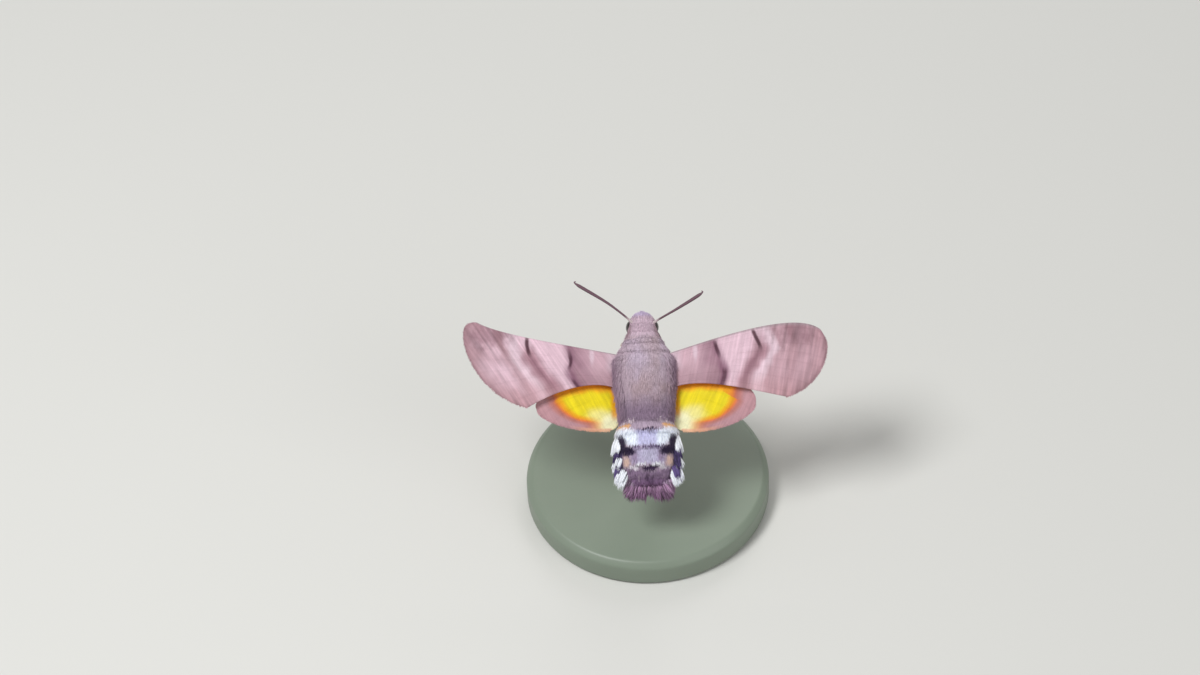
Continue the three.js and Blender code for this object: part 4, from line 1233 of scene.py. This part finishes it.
class MOTH_OT_eyes(bpy.types.Operator):
    """Dark glossy compound eyes, sunk in the sides of the head"""

    bl_idname = "moth.eyes"
    bl_label = "Eyes"

    def execute(self, context):
        polar = np.linspace(EYE_POLE, math.pi - EYE_POLE, EYE_GRID[0])
        polar, angle = np.meshgrid(polar, np.linspace(0, 2 * math.pi, EYE_GRID[1]), indexing="ij")
        ball = np.stack([np.cos(polar), np.sin(polar) * np.cos(angle), np.sin(polar) * np.sin(angle)], -1)
        place = np.stack([angle / (2 * math.pi), polar / math.pi], -1)
        for side, name in SIDES:
            points = ball * EYE_RADII + EYE_CENTRE * [side, 1, 1]
            obj = closed_tube("eye_ball_" + name, points[:, ::-1], place)
            finish_piece(obj, "eye", eye_lens, "eye_" + name)
        return {"FINISHED"}


def furred_tube(name, node, path, radius_at, grid, tint_of, reach, wide, density, shift):
    """A limb with its own short coat of lying scales, so many a square millimetre."""
    slot = node.split("_")[0]
    points, out, along, place = tube(path, radius_at, *grid)
    colours = tint_of(place)
    obj = closed_tube(name, points, place, colours={"coat_colour": colours}, vectors={"coat_place": points})
    finish_piece(obj, slot, downy_skin, node)
    lie = unit(along * math.cos(0.22) + out * math.sin(0.22))
    taper = step(1.0, 0.9, place[..., 1]) * 0.6 + 0.4
    faces = grid_faces(*points.shape[:2])
    reach, wide = reach * taper, wide * taper
    skin = tuft_roots("scales_" + name, points, lie, out, reach, wide, colours, place, faces=faces)
    grow(skin, slot, SCALE, 0.12, shift, density * PER_SQUARE_MM)


class MOTH_OT_mouth(bpy.types.Operator):
    """Pale scaled palps and the long proboscis"""

    bl_idname = "moth.mouth"
    bl_label = "Palps and proboscis"

    def execute(self, context):
        crown = context.scene.moth_colours.crown

        def palp_tint(place):
            return paint(flat("#e2d9dc", place[..., 0]), (crown, step(0.4, 0.75, place[..., 1])))

        t = np.linspace(0, 1, 9)[:, None]
        root, bend, tip = (np.array(p) for p in PALP)
        for side, name in SIDES:
            path = (root * (1 - t) ** 2 + 2 * bend * t * (1 - t) + tip * t**2) * [side, 1, 1]
            pieces = ("palp_fur_" + name, "palp_" + name)
            furred_tube(*pieces, path, palp_radius, PALP_GRID, palp_tint, 0.55, 0.1, 150, PALP_SEED_SHIFT)
        points, _, _, place = tube(PROBOSCIS, proboscis_radius, *PROBOSCIS_GRID, PROBOSCIS_FLATNESS)
        tint = paint(flat("#3d2417", place[..., 0]), ("#7a5030", step(0.4, 1.0, place[..., 1]) * 0.6))
        obj = closed_tube("tongue", points, place, colours={"coat_colour": tint})
        finish_piece(obj, "tongue", horn, "proboscis")
        return {"FINISHED"}


class MOTH_OT_legs(bpy.types.Operator):
    """Six scaled legs with jointed feet, folded back under the body"""

    bl_idname = "moth.legs"
    bl_label = "Legs"

    def execute(self, context):
        def leg_tint(place):
            return paint(flat("#c4b3ac", place[..., 0]), ("#8b7470", step(0.45, 0.8, place[..., 1]) * 0.8))

        for side, name in SIDES:
            for number, (pair, path) in enumerate(LEGS.items()):
                pieces = (f"leg_scaled_{pair}_{name}", f"leg_{pair}_{name}")
                path, shift = np.array(path) * [side, 1, 1], LEG_SEED_SHIFT + number
                furred_tube(*pieces, path, leg_radius, LEG_GRID, leg_tint, 0.42, 0.12, 40, shift)
        return {"FINISHED"}


# Stand and stage


def turned_piece(name, profile, sides):
    """A piece turned on a lathe from a closed profile of radius and height, both ends on its axis."""
    profile = np.array(profile)
    angle = np.linspace(0, 2 * math.pi, sides, endpoint=False)
    radius, height = profile[1:-1, :1], np.repeat(profile[1:-1, 1:], sides, 1)
    rings = np.stack([radius * np.cos(angle), radius * np.sin(angle), height], -1)
    points = np.concatenate([rings.reshape(-1, 3), [[0, 0, profile[0, 1]], [0, 0, profile[-1, 1]]]])
    obj = mesh_object(name, points, capped_faces(len(rings), sides))
    smooth(obj)
    obj.data.set_sharp_from_angle(angle=math.radians(35))
    return obj


def rounded(profile, radius, cuts=5):
    """A profile with its inner corners rounded to at most a radius."""
    profile = [np.array(p, float) for p in profile]
    out = [profile[0]]
    for before, at, after in zip(profile, profile[1:], profile[2:]):
        reach = min(radius, 0.45 * np.linalg.norm(at - before), 0.45 * np.linalg.norm(after - at))
        a, b = at + unit(before - at) * reach, at + unit(after - at) * reach
        for t in np.linspace(0, 1, cuts):
            out.append(a * (1 - t) ** 2 + 2 * at * t * (1 - t) + b * t * t)
    out.append(profile[-1])
    return out


# The disc's and the boss's edges, and the rod's socket, in metres.
FOOT_BEVEL, RIM_BEVEL, EDGE_RADIUS = 0.0004, 0.0008, 0.0003
BOSS_FOOT, BOSS_RADIUS, BOSS_TOP, BOSS_HEIGHT = 0.0029, 0.0024, 0.0021, 0.0012
SOCKET_GAP, SOCKET_DEPTH = 0.00003, 0.0024
ROD_BEVEL = 0.0001


class MOTH_OT_stand(bpy.types.Operator):
    """Round painted disc with a boss, and the brushed rod up to the belly"""

    bl_idname = "moth.stand"
    bl_label = "Stand"

    def execute(self, context):
        sizes = context.scene.moth_sizes
        r, h, rod = sizes.base_radius, sizes.base_thickness, sizes.rod_radius
        top, socket = h + BOSS_HEIGHT, rod + SOCKET_GAP
        profile = [(0, 0), (r - FOOT_BEVEL, 0), (r, FOOT_BEVEL), (r, h - RIM_BEVEL), (r - RIM_BEVEL, h)]
        profile += [(BOSS_FOOT, h), (BOSS_RADIUS, h + 0.0004), (BOSS_TOP, top)]
        profile += [(socket, top), (socket, top - SOCKET_DEPTH), (0, top - SOCKET_DEPTH)]
        disc = turned_piece("stand_disc", rounded(profile, EDGE_RADIUS), 128)
        finish_piece(disc, "stand_base", satin_paint, "stand_base")
        low, end = (corner[2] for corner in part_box("stand_rod"))
        profile = [(0, low), (rod - ROD_BEVEL, low), (rod, low + ROD_BEVEL), (rod, end), (0, end)]
        shaft = turned_piece("stand_shaft", profile, 48)
        finish_piece(shaft, "stand_rod", brushed_steel, "stand_rod")
        return {"FINISHED"}


# Lights: place from the moth's centre, width and power.
LIGHTS = {
    "key": ((-0.2, -0.12, 0.42), 0.16, 1.7),
    "fill": ((0.34, -0.28, 0.26), 0.3, 0.45),
    "back": ((0.1, 0.4, 0.3), 0.25, 0.45),
}
WORLD_STRENGTH = 0.33
FLOOR_HALF = 3
# The photograph: width in pixels, metres a pixel and where the thorax lies from its middle, in pixels.
PHOTO_WIDTH, PIXEL = 1200, 0.0001374
MOTH_RIGHT, MOTH_BELOW = 44.2, 34.5
CAMERA_ROLL = math.radians(2.4)
LENS, SENSOR = 150.0, 36.0


class MOTH_OT_stage(bpy.types.Operator):
    """Pale floor, soft studio lights and the camera"""

    bl_idname = "moth.stage"
    bl_label = "Floor, lights and camera"

    def execute(self, context):
        scene, sizes = context.scene, context.scene.moth_sizes
        f = FLOOR_HALF
        floor = mesh_object("floor", [(-f, -f, 0), (f, -f, 0), (f, f, 0), (-f, f, 0)], [(0, 1, 2, 3)])
        floor.data.materials.append(made(pale_floor))
        world = bpy.data.worlds.new("studio")
        world.use_nodes = True
        world.node_tree.nodes["Background"].inputs["Color"].default_value = (1.0, 1.0, 1.0, 1)
        world.node_tree.nodes["Background"].inputs["Strength"].default_value = WORLD_STRENGTH
        scene.world = world
        scene.view_settings.view_transform = "Standard"
        centre = Vector((0, sizes.hover_forward, sizes.hover_height))
        for name, (place, size, power) in LIGHTS.items():
            light = bpy.data.lights.new(name, "AREA")
            light.energy, light.size = power, size
            lamp = bpy.data.objects.new(name, light)
            lamp.location = centre + Vector(place)
            lamp.rotation_euler = (centre - lamp.location).to_track_quat("-Z", "Y").to_euler()
            scene.collection.objects.link(lamp)
        self.camera(scene, centre, sizes.camera_tilt)
        return {"FINISHED"}

    def camera(self, scene, centre, tilt):
        """Looks at the moth's back so that its thorax falls where it does in the photograph."""
        look = Vector((0, math.cos(tilt), -math.sin(tilt)))
        right, up = Vector((1, 0, 0)), Vector((0, math.sin(tilt), math.cos(tilt)))
        across = right * math.cos(CAMERA_ROLL) - up * math.sin(CAMERA_ROLL)
        over = right * math.sin(CAMERA_ROLL) + up * math.cos(CAMERA_ROLL)
        distance = PHOTO_WIDTH * PIXEL * LENS / SENSOR
        target = centre - across * MOTH_RIGHT * PIXEL + over * MOTH_BELOW * PIXEL
        data = bpy.data.cameras.new("camera")
        data.lens, data.sensor_width = LENS, SENSOR
        data.clip_start, data.clip_end = 0.05, 20.0
        camera = bpy.data.objects.new("camera", data)
        turn = Matrix((across, over, -look)).transposed().to_4x4()
        camera.matrix_world = Matrix.Translation(target - look * distance) @ turn
        scene.collection.objects.link(camera)
        scene.camera = camera


# Materials


def material(name, **constants):
    """A named material with one Principled shader, and its constant inputs set."""
    mat = bpy.data.materials.new(name)
    mat.use_nodes = True
    shader = mat.node_tree.nodes["Principled BSDF"]
    for label, value in constants.items():
        shader.inputs[label.replace("_", " ")].default_value = value
    return mat, mat.node_tree, shader


def shade(tree, source, factor, amount):
    """A colour made darker or lighter by a factor around 0.5."""
    return scaled(tree, source, maths(tree, "MULTIPLY_ADD", factor, amount, 1 - amount / 2))


def attribute(tree, name, output="Vector"):
    return add(tree, "ShaderNodeAttribute", attribute_name=name).outputs[output]


def coat_colour(tree):
    return attribute(tree, "coat_colour", "Color")


def own_place(tree):
    return add(tree, "ShaderNodeTexCoord").outputs["Object"]


def stretched(tree, place, scale):
    return add(tree, "ShaderNodeMapping", {"Vector": place, "Scale": scale}).outputs[0]


def noise(tree, place, scale, detail):
    links = {"Vector": place, "Scale": scale, "Detail": detail}
    return add(tree, "ShaderNodeTexNoise", links).outputs["Fac"]


def cells(tree, place, scale):
    return add(tree, "ShaderNodeTexVoronoi", {"Vector": place, "Scale": scale}).outputs["Distance"]


def along_unwrap(tree, name):
    """How far along a tube or a tuft a point lies, from its unwrap."""
    place = add(tree, "ShaderNodeUVMap", uv_map=name).outputs[0]
    return add(tree, "ShaderNodeSeparateXYZ", {0: place}).outputs[1]


def constant(tree, tint):
    node = add(tree, "ShaderNodeRGB")
    node.outputs[0].default_value = (*tone_of(tint), 1)
    return node.outputs[0]


def bump(tree, shader, height, strength, distance, **settings):
    """Bump from a height pattern, so many metres deep."""
    links = {"Height": height, "Strength": strength, "Distance": distance}
    node = add(tree, "ShaderNodeBump", links, **settings)
    tree.links.new(node.outputs[0], shader.inputs["Normal"])


def downy_skin():
    """Skin under short down. Fine hairs lie along the body, so bump runs in short strokes front to back."""
    mat, tree, shader = material("downy_skin", Roughness=0.82, Sheen_Weight=0.2, Specular_IOR_Level=0.25)
    strokes = noise(tree, stretched(tree, attribute(tree, "coat_place"), (7.0, 1.6, 7.0)), 1.0, 3.0)
    colours = shade(tree, coat_colour(tree), strokes, 0.45)
    tree.links.new(colours, shader.inputs["Base Color"])
    bump(tree, shader, strokes, 0.5, 0.0001)
    return mat


def fine_fur():
    """Fine hairs and scales of the coat. Each tuft differs a little in tone and is darker at its root, as
    painted shade where the tufts lie over each other.
    """
    mat, tree, shader = material("fine_fur", Roughness=0.7, Sheen_Weight=0.25, Specular_IOR_Level=0.3)
    colours = shade(tree, coat_colour(tree), attribute(tree, "tone", "Fac"), 0.32)
    # Painted shade: darker towards each tuft's root, where the tufts overlap.
    colours = shade(tree, colours, along_unwrap(tree, "Tuft"), 0.14)
    tree.links.new(colours, shader.inputs["Base Color"])
    return mat


def wing_scales():
    """Wing membrane under scales about 0.1 mm long, with streaks from the leading to the rear edge."""
    mat, tree, shader = material("wing_scales", Roughness=0.62, Sheen_Weight=0.1, Specular_IOR_Level=0.3)
    place = attribute(tree, "wing_place")
    streaks = noise(tree, stretched(tree, place, (2.6, 0.14, 1.0)), 1.0, 2.5)
    scales = cells(tree, stretched(tree, place, (9.0, 7.0, 1.0)), 1.0)
    colours = shade(tree, coat_colour(tree), streaks, 0.5)
    tree.links.new(shade(tree, colours, scales, 0.1), shader.inputs["Base Color"])
    bump(tree, shader, scales, 0.3, 0.00005)
    return mat


def horn_scales():
    """Dark ringed horn of the feelers under fine pale scales."""
    mat, tree, shader = material("horn_scales", Roughness=0.55, Specular_IOR_Level=0.4)
    fleck = noise(tree, own_place(tree), 9000.0, 2.0)
    tree.links.new(shade(tree, coat_colour(tree), fleck, 0.5), shader.inputs["Base Color"])
    bump(tree, shader, fleck, 0.3, 0.00004)
    return mat


def horn():
    """Smooth brown horn of the proboscis, ringed about four times a millimetre."""
    mat, tree, shader = material("horn", Roughness=0.35, Coat_Weight=0.3, Coat_Roughness=0.25)
    waves = maths(tree, "SINE", maths(tree, "MULTIPLY", along_unwrap(tree, "UVMap"), 560.0))
    rings = maths(tree, "MULTIPLY_ADD", waves, 0.5, 0.5)
    tree.links.new(shade(tree, coat_colour(tree), rings, 0.4), shader.inputs["Base Color"])
    bump(tree, shader, rings, 0.4, 0.00004)
    return mat


def eye_lens():
    """Compound eye: glossy dark brown, with facets drawn at 0.08 mm, coarser than the real ones, to show."""
    mat, tree, shader = material("eye_lens", Roughness=0.3, Coat_Weight=0.25, Coat_Roughness=0.1)
    place = own_place(tree)
    facets = cells(tree, place, 12000.0)
    ramp = add(tree, "ShaderNodeValToRGB", {0: noise(tree, place, 1400.0, 2.0)})
    for stop, at, tint in zip(ramp.color_ramp.elements, (0.38, 0.66), ("#1a1012", "#33211c")):
        stop.position, stop.color = at, (*linear(tint), 1)
    tree.links.new(shade(tree, ramp.outputs["Color"], facets, 0.4), shader.inputs["Base Color"])
    bump(tree, shader, facets, 0.25, 0.00003, invert=True)
    return mat


def satin_paint():
    """Satin paint sprayed on a turned disc. Orange peel about 0.6 mm across softens the reflections."""
    mat, tree, shader = material("satin_paint", Roughness=0.42, Specular_IOR_Level=0.5)
    place = own_place(tree)
    tint = constant(tree, bpy.context.scene.moth_colours.stand)
    tree.links.new(shade(tree, tint, noise(tree, place, 120.0, 3.0), 0.1), shader.inputs["Base Color"])
    bump(tree, shader, noise(tree, place, 1600.0, 2.0), 0.12, 0.0001)
    return mat


def brushed_steel():
    """Steel rod, brushed along its length: fine scratches 0.05 mm apart that run up the rod."""
    steel = (*linear("#c2c5c9"), 1)
    mat, tree, shader = material("brushed_steel", Metallic=1.0, Roughness=0.3, Base_Color=steel)
    scratch = noise(tree, stretched(tree, own_place(tree), (20000.0, 20000.0, 400.0)), 1.0, 3.0)
    tree.links.new(maths(tree, "MULTIPLY_ADD", scratch, 0.25, 0.18), shader.inputs["Roughness"])
    bump(tree, shader, scratch, 0.15, 0.00002)
    return mat


def pale_floor():
    """Matt pale studio floor."""
    mat, tree, shader = material("pale_floor", Roughness=0.9, Specular_IOR_Level=0.2)
    cloud = noise(tree, own_place(tree), 8.0, 2.0)
    tree.links.new(shade(tree, constant(tree, "#d6d6d2"), cloud, 0.03), shader.inputs["Base Color"])
    return mat


class MOTH_PT_panel(bpy.types.Panel):
    """Sizes, colours and pieces of the moth"""

    bl_idname = "MOTH_PT_panel"
    bl_label = "Hummingbird hawk moth"
    bl_space_type = "VIEW_3D"
    bl_region_type = "UI"
    bl_category = "Moth"

    def draw(self, context):
        for operator in OPERATORS:
            self.layout.operator(operator.bl_idname)
        for group in (context.scene.moth_sizes, context.scene.moth_colours):
            for key in group.bl_rna.properties.keys():
                if key not in ("rna_type", "name"):
                    self.layout.prop(group, key)


OPERATORS = (
    MOTH_OT_skin,
    MOTH_OT_coat,
    MOTH_OT_tufts,
    MOTH_OT_wings,
    MOTH_OT_feelers,
    MOTH_OT_eyes,
    MOTH_OT_mouth,
    MOTH_OT_legs,
    MOTH_OT_stand,
    MOTH_OT_stage,
)
CLASSES = (MothSizes, MothColours, *OPERATORS, MOTH_PT_panel)


def register():
    for cls in CLASSES:
        bpy.utils.register_class(cls)
    bpy.types.Scene.moth_sizes = PointerProperty(type=MothSizes)
    bpy.types.Scene.moth_colours = PointerProperty(type=MothColours)


def unregister():
    del bpy.types.Scene.moth_colours
    del bpy.types.Scene.moth_sizes
    for cls in reversed(CLASSES):
        bpy.utils.unregister_class(cls)


def main():
    register()
    bpy.ops.moth.skin()
    bpy.ops.moth.coat()
    bpy.ops.moth.tufts()
    bpy.ops.moth.wings()
    bpy.ops.moth.feelers()
    bpy.ops.moth.eyes()
    bpy.ops.moth.mouth()
    bpy.ops.moth.legs()
    bpy.ops.moth.stand()
    bpy.ops.moth.stage()


if __name__ == "__main__":
    main()
